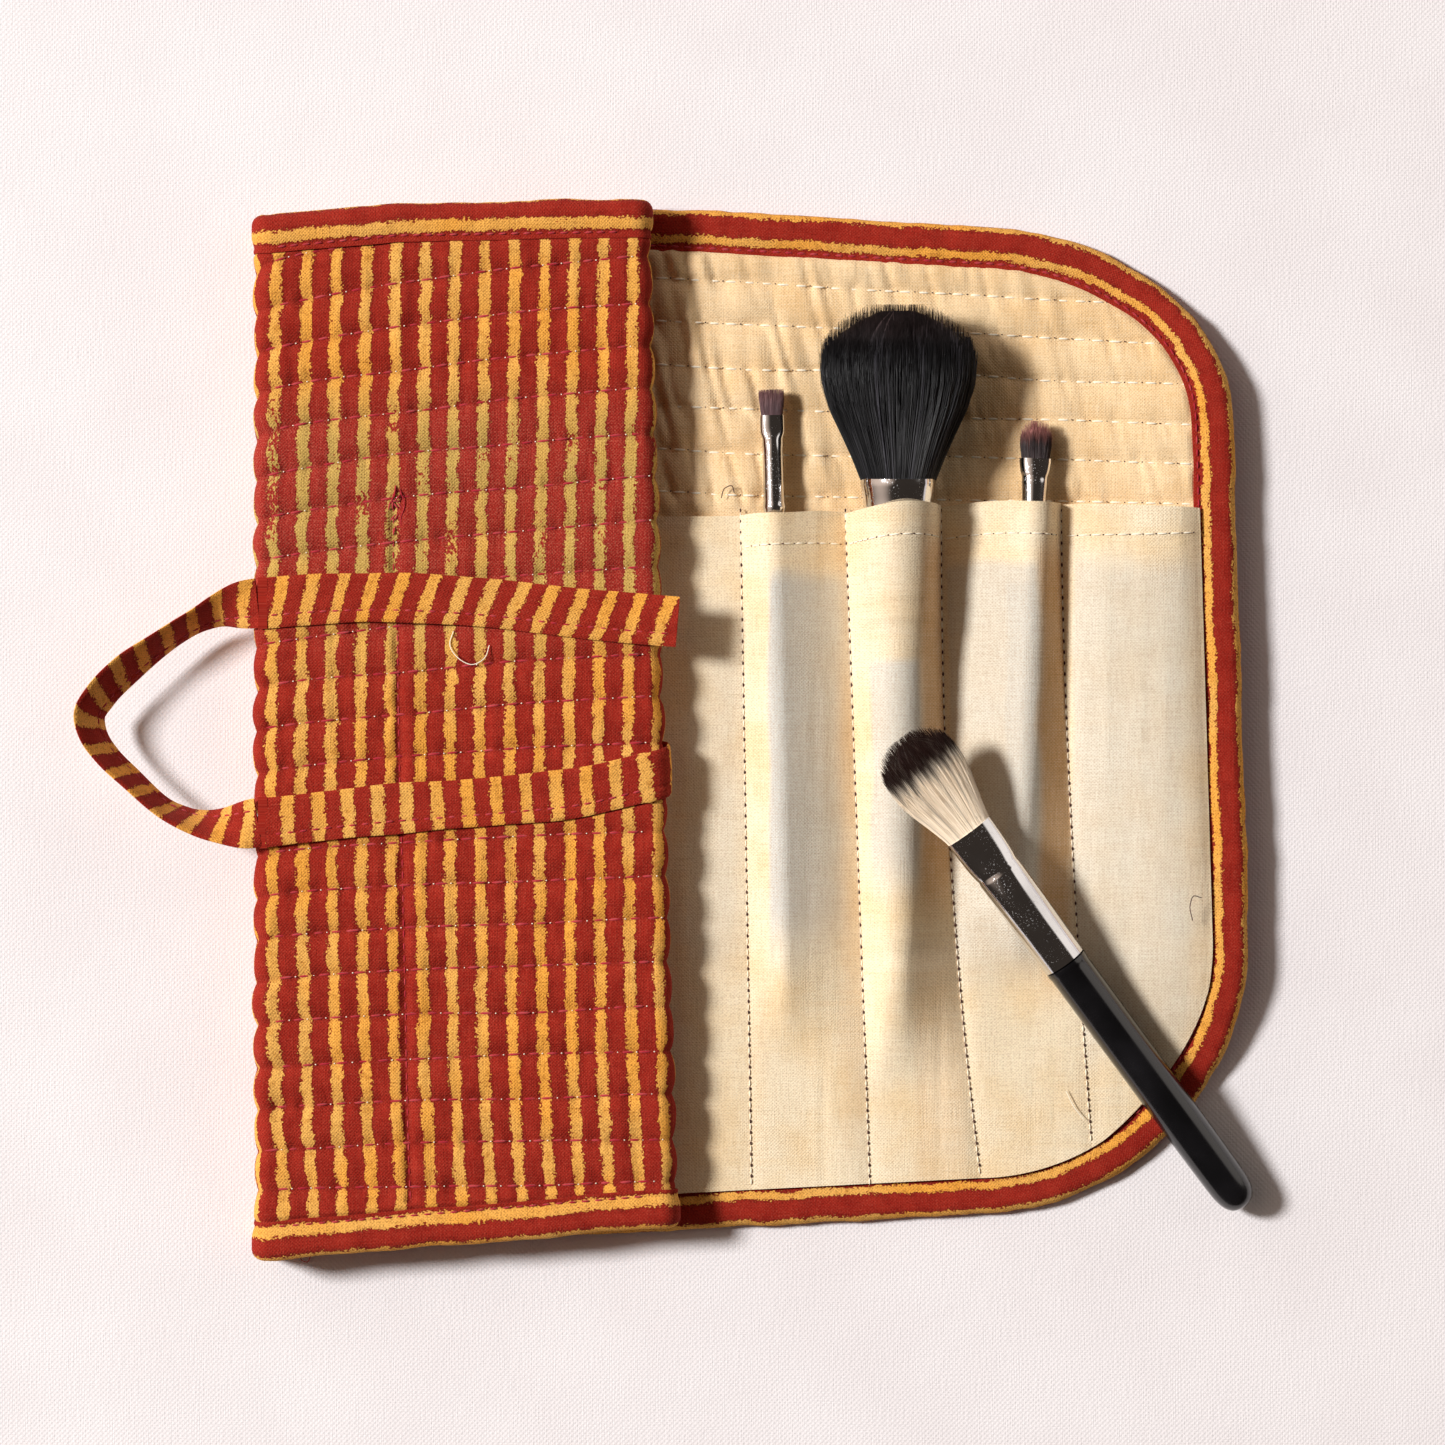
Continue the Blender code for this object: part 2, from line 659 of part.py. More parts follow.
def make_frames():
    """Empties on the folds' axes, each turned a right angle from the one before."""
    quarter = math.pi / 2
    base = empty("base_frame", None, (0.0, 0.0, SHEET))
    left_fold = empty("left_fold_axis", base, (LEFT_FOLD_X, 0.0, 0.0), (0.0, quarter, 0.0))
    flap = empty("flap_axis", left_fold, (-LEFT_FOLD_RISE, 0.0, 0.0), (0.0, quarter, 0.0))
    leaning = (0.0, quarter, -RIGHT_FOLD_LEAN)
    right_fold = empty("right_fold_axis", flap, (-FLAP_LENGTH, 0.0, 0.0), leaning)
    end_flap = empty("end_flap_axis", right_fold, (-RIGHT_FOLD_RISE, 0.0, 0.0), (0.0, quarter, 0.0))
    tie_height = SHEET + LEFT_FOLD_RISE + SHEET + TIE_LIFT + TIE_HINGE_RISE
    tie_loop = empty("tie_loop_axis", None, (TIE_HINGE_X, 0.0, tie_height))
    return {
        "base": base,
        "left_fold": left_fold,
        "flap": flap,
        "right_fold": right_fold,
        "end_flap": end_flap,
        "tie_loop": tie_loop,
    }


def make_looks():
    return {
        "print": material("printed_cotton", (0.42, 0.045, 0.02), 0.85),
        "binding": material("binding_cotton", (0.55, 0.12, 0.02), 0.85),
        "tie": material("tie_cotton", (0.5, 0.09, 0.02), 0.85),
        "batting": material("batting_wadding", (0.85, 0.83, 0.78), 0.95),
        "lining": material("lining_cotton", (0.83, 0.66, 0.38), 0.85),
        "pocket": material("pocket_cotton", (0.8, 0.66, 0.42), 0.85),
        "thread": material("seam_thread", (0.4, 0.06, 0.04), 0.8),
        "chrome": material("chromed_brass", (0.8, 0.8, 0.82), 0.12, 1.0),
        "lacquer": material("black_lacquer", (0.01, 0.01, 0.012), 0.18),
        "flat_brush": material("flat_brush_hair", (0.1, 0.05, 0.045), 0.6),
        "powder_brush": material("powder_brush_hair", (0.015, 0.013, 0.015), 0.6),
        "dome_brush": material("dome_brush_hair", (0.12, 0.06, 0.05), 0.6),
        "foundation_brush": material("foundation_brush_hair", (0.35, 0.24, 0.18), 0.6),
    }


def main():
    clear_scene()
    looks = make_looks()
    frames = make_frames()
    bpy.context.view_layer.update()
    brushes = brush_designs()
    make_base(frames["base"], looks)
    make_pockets(frames["base"], looks, brushes)
    lower, upper = strip_edges(LEFT_FOLD_RISE, LEFT_BOTTOM, LEFT_TOP)
    make_strip("left_fold", lower, upper, frames["left_fold"], looks)
    pocket_strip(
        "left_fold_pocket_cloth",
        -POCKET_CORNER,
        -LEFT_FOLD_RISE + POCKET_CORNER,
        LEFT_BOTTOM + POCKET_MARGIN,
        frames["left_fold"],
        looks["pocket"],
    )
    lower, upper = flap_edges()
    make_strip("flap", lower, upper, frames["flap"], looks)
    pocket_strip(
        "flap_pocket_cloth",
        -POCKET_CORNER,
        -POCKET_END_ON_FLAP,
        LEFT_BOTTOM + POCKET_MARGIN + FLAP_POCKET_INSET,
        frames["flap"],
        looks["pocket"],
    )
    lower, upper = strip_edges(RIGHT_FOLD_RISE, FLAP_BOTTOM, FLAP_TOP)
    make_strip("right_fold", lower, upper, frames["right_fold"], looks)
    make_end_flap(frames["end_flap"], looks)
    make_tie(frames, looks["tie"])
    for name, design in brushes.items():
        make_brush(name, design, looks)


main()
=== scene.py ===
import json
import math

import bpy
import numpy as np
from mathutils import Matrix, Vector

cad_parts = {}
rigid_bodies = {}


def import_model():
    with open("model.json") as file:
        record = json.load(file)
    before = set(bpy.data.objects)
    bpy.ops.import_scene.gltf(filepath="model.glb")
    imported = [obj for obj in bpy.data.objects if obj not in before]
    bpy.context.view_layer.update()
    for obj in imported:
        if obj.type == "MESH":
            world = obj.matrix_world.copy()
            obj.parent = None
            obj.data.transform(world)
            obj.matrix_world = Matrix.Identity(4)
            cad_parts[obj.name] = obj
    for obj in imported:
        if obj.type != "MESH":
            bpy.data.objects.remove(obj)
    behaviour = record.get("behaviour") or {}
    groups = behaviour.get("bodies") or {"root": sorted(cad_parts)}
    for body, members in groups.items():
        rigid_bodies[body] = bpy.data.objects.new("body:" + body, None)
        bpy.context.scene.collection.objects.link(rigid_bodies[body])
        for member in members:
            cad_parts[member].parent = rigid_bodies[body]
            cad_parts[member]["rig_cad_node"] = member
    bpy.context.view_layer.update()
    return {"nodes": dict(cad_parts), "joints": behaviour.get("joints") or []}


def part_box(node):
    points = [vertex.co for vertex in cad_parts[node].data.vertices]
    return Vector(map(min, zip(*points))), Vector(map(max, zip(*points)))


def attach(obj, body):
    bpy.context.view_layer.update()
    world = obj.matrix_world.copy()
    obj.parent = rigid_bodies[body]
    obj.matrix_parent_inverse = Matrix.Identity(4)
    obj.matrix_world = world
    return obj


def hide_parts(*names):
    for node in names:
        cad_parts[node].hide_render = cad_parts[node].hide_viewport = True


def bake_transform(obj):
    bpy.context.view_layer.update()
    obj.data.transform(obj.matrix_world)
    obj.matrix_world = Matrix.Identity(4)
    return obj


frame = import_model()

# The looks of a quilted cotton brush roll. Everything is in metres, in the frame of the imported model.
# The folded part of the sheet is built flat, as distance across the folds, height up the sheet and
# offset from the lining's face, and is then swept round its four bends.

MM = 0.001

# ---------------------------------------------------------------- places, read from the frame
JOINTS = {joint["name"]: joint for joint in frame["joints"]}
FOLD_X = JOINTS["left_fold_opening"]["pos_m"][0]
SHEET = JOINTS["left_fold_opening"]["pos_m"][2]
FLAP_Z = JOINTS["flap_opening"]["pos_m"][2]
RIGHT_X = JOINTS["right_fold_opening"]["pos_m"][0]
END_Z = JOINTS["end_flap_opening"]["pos_m"][2]
FOLD_LINE = Vector(JOINTS["right_fold_opening"]["axis"])
LEAN = abs(FOLD_LINE.x / FOLD_LINE.y)
END_LENGTH = 39.0 * MM
LEFT_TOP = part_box("left_fold_binding_upper")[1].y
LEFT_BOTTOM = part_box("left_fold_binding_lower")[0].y
FLAP_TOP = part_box("right_fold_binding_upper")[1].y
FLAP_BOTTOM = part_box("right_fold_binding_lower")[0].y
FLAP_TOP_BEND = (29.0 * MM, 117.6 * MM)

# The open panel's outline, as in the CAD model.
TOP_CREST = (-22.0 * MM, 117.0 * MM)
TOP_CORNER = (50.5 * MM, 68.0 * MM, 60.0 * MM, 45.0 * MM)
BOTTOM_CORNER = (52.0 * MM, -51.0 * MM, 62.0 * MM, 62.0 * MM)
BOTTOM_BEND = (-16.0 * MM, -116.5 * MM)

# The pocket cloth's mouth and its seams: x at the mouth, drift to the bottom, how late it drifts.
POCKET_TOP = 49.0 * MM
POCKET_BOTTOM = -104.0 * MM
SEAMS = (
    (-2.0 * MM, 2.5 * MM, 1.0),
    (22.0 * MM, 5.6 * MM, 1.0),
    (44.0 * MM, 9.0 * MM, 2.2),
    (71.5 * MM, 7.5 * MM, 1.6),
)
POCKET_MARGIN = 8.0 * MM
POCKET_LIFT = 0.3 * MM
POCKET_CLOTH = 0.35 * MM
EMPTY_RISE = 3.4 * MM
HEM = 8.2 * MM

BINDING_WIDTH = 8.5 * MM
CLOTH = 0.35 * MM
STRIPE = 6.75 * MM

# The tie.
TIE_WIDTH = 11.4 * MM
TIE_THICK = 1.0 * MM
TIE_CENTRE = SHEET + 0.8 * MM


def srgb(red, green, blue):
    """A colour given as it looks on a screen, from 0 to 255, in linear light."""
    shares = [channel / 255 for channel in (red, green, blue)]
    return [s / 12.92 if s <= 0.04045 else ((s + 0.055) / 1.055) ** 2.4 for s in shares]


# ---------------------------------------------------------------- numbers that vary smoothly
TABLE_SIZE = 128


def noise(x, y, wide, high, seed):
    """Smooth variation from -1 to 1, with features of about this width and height."""
    table = np.random.default_rng(seed).random((TABLE_SIZE, TABLE_SIZE)) * 2 - 1
    gx, gy = np.asarray(x) / wide, np.asarray(y) / high
    ix, iy = np.floor(gx).astype(int), np.floor(gy).astype(int)
    fx, fy = gx - ix, gy - iy
    fx, fy = fx * fx * (3 - 2 * fx), fy * fy * (3 - 2 * fy)
    ix, iy, jx, jy = (k % TABLE_SIZE for k in (ix, iy, ix + 1, iy + 1))
    low = table[iy, ix] * (1 - fx) + table[iy, jx] * fx
    top = table[jy, ix] * (1 - fx) + table[jy, jx] * fx
    return low * (1 - fy) + top * fy


def smooth_step(value, start=0.0, end=1.0):
    share = np.clip((value - start) / (end - start), 0, 1)
    return share * share * (3 - 2 * share)


def curve_through(points, count):
    """Evenly spread points on a smooth curve through these, whatever they hold."""
    points = np.array(points, float)
    steps = np.linalg.norm(np.diff(points[:, :2], axis=0), axis=1)
    at = np.concatenate(([0], np.cumsum(steps)))
    slopes = np.gradient(points, at, axis=0)
    wanted = np.linspace(0, at[-1], count)
    k = np.clip(np.searchsorted(at, wanted, side="right") - 1, 0, len(at) - 2)
    span = (at[k + 1] - at[k])[:, None]
    t = (wanted - at[k])[:, None] / span
    return (
        (2 * t**3 - 3 * t**2 + 1) * points[k]
        + (t**3 - 2 * t**2 + t) * span * slopes[k]
        + (3 * t**2 - 2 * t**3) * points[k + 1]
        + (t**3 - t**2) * span * slopes[k + 1]
    )


def unit(vectors):
    return vectors / np.maximum(np.linalg.norm(vectors, axis=-1, keepdims=True), 1e-12)


# ---------------------------------------------------------------- meshes
def length_along(points):
    """The distance along a line at each of its points."""
    steps = np.linalg.norm(np.diff(points, axis=0), axis=1)
    return np.concatenate(([0], np.cumsum(steps)))


def upward(count):
    """One upward vector for each of a row of stitches."""
    return np.tile((0.0, 0.0, 1.0), (count, 1))


def new_object(name, verts, faces, look, uv=None, normals=None, attributes=None, second_look=None):
    """An object from arrays. faces is a list of arrays, one for each material in turn."""
    mesh = bpy.data.meshes.new(name)
    blocks = [block.tolist() for block in faces if len(block)]
    mesh.from_pydata(verts.tolist(), [], [face for block in blocks for face in block])
    mesh.materials.append(look)
    if second_look:
        mesh.materials.append(second_look)
        marks = np.zeros(len(mesh.polygons), np.int32)
        marks[len(faces[0]) :] = 1
        mesh.polygons.foreach_set("material_index", marks)
    corner = np.zeros(len(mesh.loops), np.int32)
    mesh.loops.foreach_get("vertex_index", corner)
    if uv is not None:
        layer = mesh.uv_layers.new(name="cloth")
        layer.data.foreach_set("uv", (uv[corner] / MM).astype(np.float32).ravel())
    for key, values in (attributes or {}).items():
        made = mesh.attributes.new(key, "FLOAT", "POINT")
        made.data.foreach_set("value", values.astype(np.float32))
    mesh.shade_smooth()
    if normals is not None:
        mesh.normals_split_custom_set(normals(corner, mesh))
    made = bpy.data.objects.new(name, mesh)
    bpy.context.scene.collection.objects.link(made)
    return made


def grid_normals(grid):
    """The direction that each point of a grid faces."""
    across = np.gradient(grid, axis=1)
    up = np.gradient(grid, axis=0)
    return unit(np.cross(across, up))


def slab(name, outer, inner, looks, uv, keep=None, uv_inner=None, normals=None, attributes=None):
    """A closed sheet between two grids of points. looks are its outer and inner materials.
    keep marks the cells that are there, and normals are the two grids' own, where they go on
    past this piece."""
    rows, columns = outer.shape[:2]
    count = rows * columns
    if keep is None:
        keep = np.ones((rows - 1, columns - 1), bool)
    index = np.arange(count).reshape(rows, columns)
    corners = (index[:-1, :-1], index[:-1, 1:], index[1:, 1:], index[1:, :-1])
    cells = np.stack(corners, -1)[keep]
    around = np.pad(keep, 1)
    walls = []
    for side, (row, column) in enumerate(((0, 1), (1, 2), (2, 1), (1, 0))):
        beyond = around[row : row + rows - 1, column : column + columns - 1]
        near, far = corners[side][keep & ~beyond], corners[(side + 1) % 4][keep & ~beyond]
        walls.append(np.stack((far, near, near + count, far + count), -1))
    walls = np.concatenate(walls)
    flat_outer, flat_inner = outer.reshape(-1, 3), inner.reshape(-1, 3)
    out_of = (flat_outer - flat_inner)[cells[:, 0]]
    first = flat_outer[cells]
    facing = np.cross(first[:, 1] - first[:, 0], first[:, 3] - first[:, 0])
    back = np.einsum("ij,ij->i", facing, out_of).sum() < 0
    blocks = [cells, cells[:, ::-1] + count, walls]
    if back:
        blocks = [block[:, ::-1] for block in blocks]
    outer_normals, inner_normals = normals or (grid_normals(outer), grid_normals(inner))
    sign = -1 if back else 1
    vert_normals = np.concatenate(
        (outer_normals.reshape(-1, 3) * sign, inner_normals.reshape(-1, 3) * -sign)
    )
    verts = np.concatenate((flat_outer, flat_inner))
    flat_uv = uv.reshape(-1, 2)
    inner_uv = flat_uv if uv_inner is None else uv_inner.reshape(-1, 2)
    all_uv = np.concatenate((flat_uv, inner_uv))
    doubled = {key: np.tile(values.ravel(), 2) for key, values in (attributes or {}).items()}
    used = np.unique(np.concatenate([block.ravel() for block in blocks]))
    place = np.zeros(len(verts), np.int64)
    place[used] = np.arange(len(used))
    blocks = [place[block] for block in blocks]
    faces = [blocks[0], np.concatenate(blocks[1:])]
    if looks[0] == looks[1]:
        faces = [np.concatenate(faces)]
    vert_normals = vert_normals[used]
    wall_corners = 4 * len(walls)

    def corner_normals(corner, mesh):
        found = vert_normals[corner]
        flat = np.zeros(len(mesh.polygons) * 3, np.float32)
        mesh.polygons.foreach_get("normal", flat)
        found[len(corner) - wall_corners :] = np.repeat(flat.reshape(-1, 3)[-len(walls) :], 4, axis=0)
        return found

    return new_object(
        name,
        verts[used],
        faces,
        looks[0],
        uv=all_uv[used],
        normals=corner_normals,
        attributes={key: values[used] for key, values in doubled.items()},
        second_look=None if looks[0] == looks[1] else looks[1],
    )


def ring_quads(index):
    """The faces of a tube whose rings of corners are the rows of index."""
    near, far = index[:-1], index[1:]
    return np.stack((near, np.roll(near, -1, 1), np.roll(far, -1, 1), far), -1).reshape(-1, 4)


def lathe(name, rings, look, closed_tube=False):
    """A turned or oval solid through rings of points."""
    rings = np.array(rings)
    count, sides = rings.shape[:2]
    index = np.arange(count * sides).reshape(count, sides)
    if closed_tube:
        index = np.vstack((index, index[:1]))
    quads = ring_quads(index)
    mesh = bpy.data.meshes.new(name)
    caps = [] if closed_tube else [index[0][::-1].tolist(), index[-1].tolist()]
    mesh.from_pydata(rings.reshape(-1, 3).tolist(), [], quads.tolist() + caps)
    mesh.materials.append(look)
    mesh.shade_smooth()
    mesh.set_sharp_from_angle(angle=math.radians(50))
    made = bpy.data.objects.new(name, mesh)
    bpy.context.scene.collection.objects.link(made)
    return made


STITCH_SIDES = 6
STITCH_RINGS = 5


def stitches(name, places, alongs, ups, length, radius, look):
    """Threads lying on cloth: a short rounded stitch at each place."""
    alongs, ups = unit(alongs), unit(ups)
    sides = unit(np.cross(ups, alongs))
    verts = []
    for ring in range(STITCH_RINGS):
        at = 2 * ring / (STITCH_RINGS - 1) - 1
        thick = radius * math.sqrt(max(1 - at**4, 0.06))
        middle = places + alongs * (at * length / 2) - ups * (radius * 1.1 * at * at)
        for side in range(STITCH_SIDES):
            turn = 2 * math.pi * side / STITCH_SIDES
            verts.append(middle + sides * (thick * math.cos(turn)) + ups * (thick * math.sin(turn)))
    verts = np.stack(verts, 1)
    one = verts.shape[1]
    index = np.arange(one).reshape(STITCH_RINGS, STITCH_SIDES)
    quads = ring_quads(index)
    starts = (np.arange(len(places)) * one)[:, None, None]
    faces = (quads[None] + starts).reshape(-1, 4)
    caps = np.stack((index[0][::-1], index[-1]))
    caps = (caps[None] + starts).reshape(-1, STITCH_SIDES)
    return new_object(name, verts.reshape(-1, 3), [faces, caps], look)


# ---------------------------------------------------------------- materials
class Nodes:
    """Short ways to add and join shader nodes."""

    def __init__(self, name):
        self.material = bpy.data.materials.new(name)
        self.material.use_nodes = True
        self.tree = self.material.node_tree
        self.shader = self.tree.nodes["Principled BSDF"]

    def add(self, kind, **values):
        node = self.tree.nodes.new(kind)
        for key, value in values.items():
            setattr(node, key, value)
        return node

    def join(self, value, socket):
        if hasattr(value, "is_output"):
            self.tree.links.new(value, socket)
        elif hasattr(value, "__len__") and len(value) == 3 and len(socket.default_value) == 4:
            socket.default_value = (*value, 1.0)
        else:
            socket.default_value = value

    def maths(self, operation, *values):
        node = self.add("ShaderNodeMath", operation=operation)
        for value, socket in zip(values, node.inputs):
            self.join(value, socket)
        return node.outputs[0]

    def ramp(self, value, start, end, low=0.0, high=1.0):
        """Runs smoothly from low to high as the value goes from start to end."""
        node = self.add("ShaderNodeMapRange", interpolation_type="SMOOTHSTEP")
        for given, socket in zip((value, start, end, low, high), node.inputs):
            self.join(given, socket)
        return node.outputs[0]

    def mix(self, share, first, second, blend="MIX"):
        node = self.add("ShaderNodeMix", data_type="RGBA", blend_type=blend)
        self.join(share, node.inputs[0])
        self.join(first, node.inputs[6])
        self.join(second, node.inputs[7])
        return node.outputs[2]

    def noise(self, place, scale, detail=2.0, stretch=(1.0, 1.0, 1.0)):
        mapped = self.add("ShaderNodeMapping")
        self.join(place, mapped.inputs["Vector"])
        self.join([scale * s for s in stretch], mapped.inputs["Scale"])
        node = self.add("ShaderNodeTexNoise")
        node.inputs["Scale"].default_value = 1.0
        node.inputs["Detail"].default_value = detail
        self.join(mapped.outputs[0], node.inputs["Vector"])
        return node.outputs[0]

    def cloth(self):
        """Position in the flat cloth, in millimetres, and its two parts."""
        place = self.add("ShaderNodeUVMap", uv_map="cloth").outputs[0]
        parts = self.add("ShaderNodeSeparateXYZ")
        self.join(place, parts.inputs[0])
        return place, parts.outputs[0], parts.outputs[1]

    def attribute(self, name):
        return self.add("ShaderNodeAttribute", attribute_name=name).outputs["Fac"]

    def weave(self, place, across, up, threads_per_mm=2.6):
        """The height of plain weave, about 0.4 to 1.6: threads over and under, with slubs."""
        turn = 2 * math.pi * threads_per_mm / 2
        warp = self.maths("SINE", self.maths("MULTIPLY", across, turn))
        weft = self.maths("SINE", self.maths("MULTIPLY", up, turn))
        plain = self.maths("MULTIPLY", warp, weft)
        slub = self.maths(
            "ADD",
            self.noise(place, 1.0, 3.0, (0.16, 3.4, 1.0)),
            self.noise(place, 1.0, 3.0, (3.4, 0.16, 1.0)),
        )
        return self.maths("ADD", self.maths("MULTIPLY", plain, 0.3), slub)

    def finish(self, colour, roughness, height=None, depth=0.0, sheen=0.0):
        """Joins everything to the shader. depth is the bump's height in metres."""
        self.join(colour, self.shader.inputs["Base Color"])
        self.join(roughness, self.shader.inputs["Roughness"])
        self.shader.inputs["Sheen Weight"].default_value = sheen
        self.shader.inputs["Sheen Roughness"].default_value = 0.5
        if sheen:
            self.shader.inputs["Specular IOR Level"].default_value = 0.12
        if height is not None:
            bump = self.add("ShaderNodeBump")
            bump.inputs["Strength"].default_value = 1.0
            bump.inputs["Distance"].default_value = depth
            self.join(height, bump.inputs["Height"])
            self.join(bump.outputs[0], self.shader.inputs["Normal"])
        return self.material


RED = srgb(163, 39, 25)
RED_WORN = srgb(163, 42, 34)
RED_DEEP = srgb(148, 31, 20)
RED_DARK = srgb(96, 18, 12)
MUSTARD = srgb(246, 171, 68)
MUSTARD_PALE = srgb(242, 182, 92)
MUSTARD_DEEP = srgb(192, 122, 36)
OLIVE = srgb(208, 172, 90)


def printed_cotton(name, width=1.22):
    """Red cotton with mustard stripes, printed by hand from a block with ragged edges. width is
    half a stripe's width in millimetres."""
    n = Nodes(name)
    place, across, up = n.cloth()
    fade = n.attribute("fade")
    groove = n.attribute("groove")
    worn = n.attribute("worn")
    wander = n.maths("MULTIPLY", n.maths("SUBTRACT", n.noise(place, 0.07, 2.0), 0.5), 1.3)
    rough = n.maths("MULTIPLY", n.maths("SUBTRACT", n.noise(place, 0.6, 2.0, (1, 0.5, 1)), 0.5), 1.9)
    ragged = n.maths("MULTIPLY", n.maths("SUBTRACT", n.noise(place, 2.0, 2.0, (1, 0.8, 1)), 0.5), 2.3)
    shifted = n.maths("ADD", across, wander)
    phase = n.maths("FRACT", n.maths("DIVIDE", shifted, STRIPE / MM))
    from_centre = n.maths("MULTIPLY", n.maths("ABSOLUTE", n.maths("SUBTRACT", phase, 0.5)), STRIPE / MM)
    edge = n.maths("ADD", n.maths("ADD", from_centre, rough), ragged)
    # Near the stitch rows the mustard stripe is pinched off in patches, standing in for the threads and
    # the shade in the stitch grooves that hide it.
    pinched = n.maths("MULTIPLY", groove, n.ramp(n.noise(place, 0.05, 1.0), 0.50, 0.64, 0.0, 0.8))
    edge = n.maths("ADD", edge, pinched)
    stripe = n.ramp(edge, width - 0.08, width + 0.12, 1.0, 0.0)
    rim_start = n.ramp(edge, width - 0.1, width + 0.1)
    rim = n.maths("MULTIPLY", rim_start, n.ramp(edge, width + 0.15, width + 0.7, 1.0, 0.0))
    specks = n.noise(place, 1.5, 4.0, (1, 0.6, 1))
    patchy = n.noise(place, 0.11, 2.0, (1, 0.8, 1))
    bare = n.ramp(patchy, 0.52, 0.7, 0.2, 0.36)
    rubbed = n.maths("MULTIPLY", worn, n.ramp(patchy, 0.4, 0.6, 0.0, 0.2))
    threshold = n.maths("ADD", bare, rubbed)
    covered = n.ramp(n.maths("SUBTRACT", specks, threshold), -0.015, 0.03)
    stripe = n.maths("MULTIPLY", stripe, covered)
    tone = n.noise(place, 0.22, 3.0)
    broad = n.noise(place, 0.035, 2.0)
    red = n.mix(n.ramp(tone, 0.35, 0.7), RED, RED_DEEP)
    red = n.mix(n.maths("MULTIPLY", fade, n.ramp(broad, 0.3, 0.6, 0.4, 1.0)), red, RED_WORN)
    red = n.mix(n.maths("MULTIPLY", rim, 0.5), red, RED_DARK)
    mustard = n.mix(n.ramp(broad, 0.35, 0.65), MUSTARD, MUSTARD_PALE)
    mottled = n.ramp(n.noise(place, 0.5, 3.0), 0.5, 0.75, 0.0, 0.55)
    mustard = n.mix(mottled, mustard, MUSTARD_DEEP)
    faded = n.maths("MULTIPLY", fade, n.ramp(broad, 0.25, 0.55, 0.6, 1.0))
    mustard = n.mix(faded, mustard, OLIVE)
    colour = n.mix(stripe, red, mustard)
    # Painted shade: the stitch grooves and the pocket seam are darkened toward RED_DARK.
    colour = n.mix(n.maths("MULTIPLY", groove, 0.25), colour, RED_DARK)
    threads = n.weave(place, across, up)
    grain = n.noise(place, 2.4, 2.0)
    # Painted shade darkens the gaps between threads and painted highlight lightens the raised threads;
    # the grain noise adds random darker and paler threads to both.
    between = n.ramp(threads, 0.62, 1.02, 0.30, 0.0)
    gap_shade_and_grain = n.maths("ADD", between, n.ramp(grain, 0.34, 0.54, 0.34, 0.0))
    colour = n.mix(gap_shade_and_grain, colour, [0.3 * c for c in RED])
    raised = n.ramp(threads, 1.0, 1.4, 0.0, 0.12)
    thread_highlight_and_grain = n.maths("ADD", raised, n.ramp(grain, 0.52, 0.68, 0.0, 0.14))
    paler = n.maths("ADD", n.maths("MULTIPLY", fade, 0.5), 0.3)
    thread_highlight_and_grain_share = n.maths("MULTIPLY", thread_highlight_and_grain, paler)
    colour = n.mix(thread_highlight_and_grain_share, colour, srgb(238, 186, 150))
    height = n.maths("ADD", threads, n.maths("MULTIPLY", stripe, 0.2))
    return n.finish(colour, n.ramp(tone, 0.2, 0.8, 0.8, 0.95), height, 0.00013, sheen=0.02)


PLAIN_COTTON_RELIEF = 0.00012


def plain_cotton(name, colour, deep):
    """Cream cotton with thread-by-thread variation. Where 'ghost' is set, the cloth is greyed: partly
    the brush handles showing through it, partly painted shade of the hollow under it. Where 'warm'
    is set, painted amber shade of its own folds is mixed in."""
    n = Nodes(name)
    place, across, up = n.cloth()
    tone = n.noise(place, 0.06, 3.0)
    mottled = n.mix(n.ramp(tone, 0.35, 0.72), colour, deep)
    streaks = n.noise(place, 1.0, 2.0, (0.02, 0.3, 1.0))
    mottled = n.mix(n.ramp(streaks, 0.52, 0.75, 0.0, 0.45), mottled, deep)
    # Grey where the handles show through the cloth, with painted shade of the pocket's hollow.
    mottled = n.mix(n.attribute("ghost"), mottled, srgb(200, 202, 200))
    # Painted amber shade, with warm bounce light, on the cloth's shaded slopes and folds.
    mottled = n.mix(n.attribute("warm"), mottled, srgb(205, 140, 66))
    threads = n.weave(place, across, up)
    grain = n.noise(place, 2.2, 2.0, (0.7, 1.3, 1.0))
    mottled = n.mix(n.ramp(grain, 0.34, 0.55, 0.24, 0.0), mottled, srgb(170, 128, 80))
    # Painted shade darkens the gaps between threads and painted highlight lightens the raised threads.
    mottled = n.mix(n.ramp(threads, 0.6, 1.0, 0.28, 0.0), mottled, srgb(166, 124, 76))
    mottled = n.mix(n.ramp(threads, 1.0, 1.4, 0.0, 0.3), mottled, srgb(255, 248, 228))
    return n.finish(mottled, n.ramp(tone, 0.2, 0.8, 0.8, 0.92), threads, PLAIN_COTTON_RELIEF, sheen=0.03)


def thread_material(name, colour, twist=(200, 190, 175)):
    n = Nodes(name)
    place = n.add("ShaderNodeTexCoord").outputs["Object"]
    strands = n.noise(place, 5200.0, 1.0)
    shade = n.noise(place, 260.0, 2.0)
    mixed = n.mix(n.ramp(shade, 0.35, 0.7, 0.0, 0.4), colour, srgb(*twist))
    return n.finish(mixed, n.ramp(strands, 0.2, 0.8, 0.5, 0.7), strands, 0.00005, sheen=0.2)


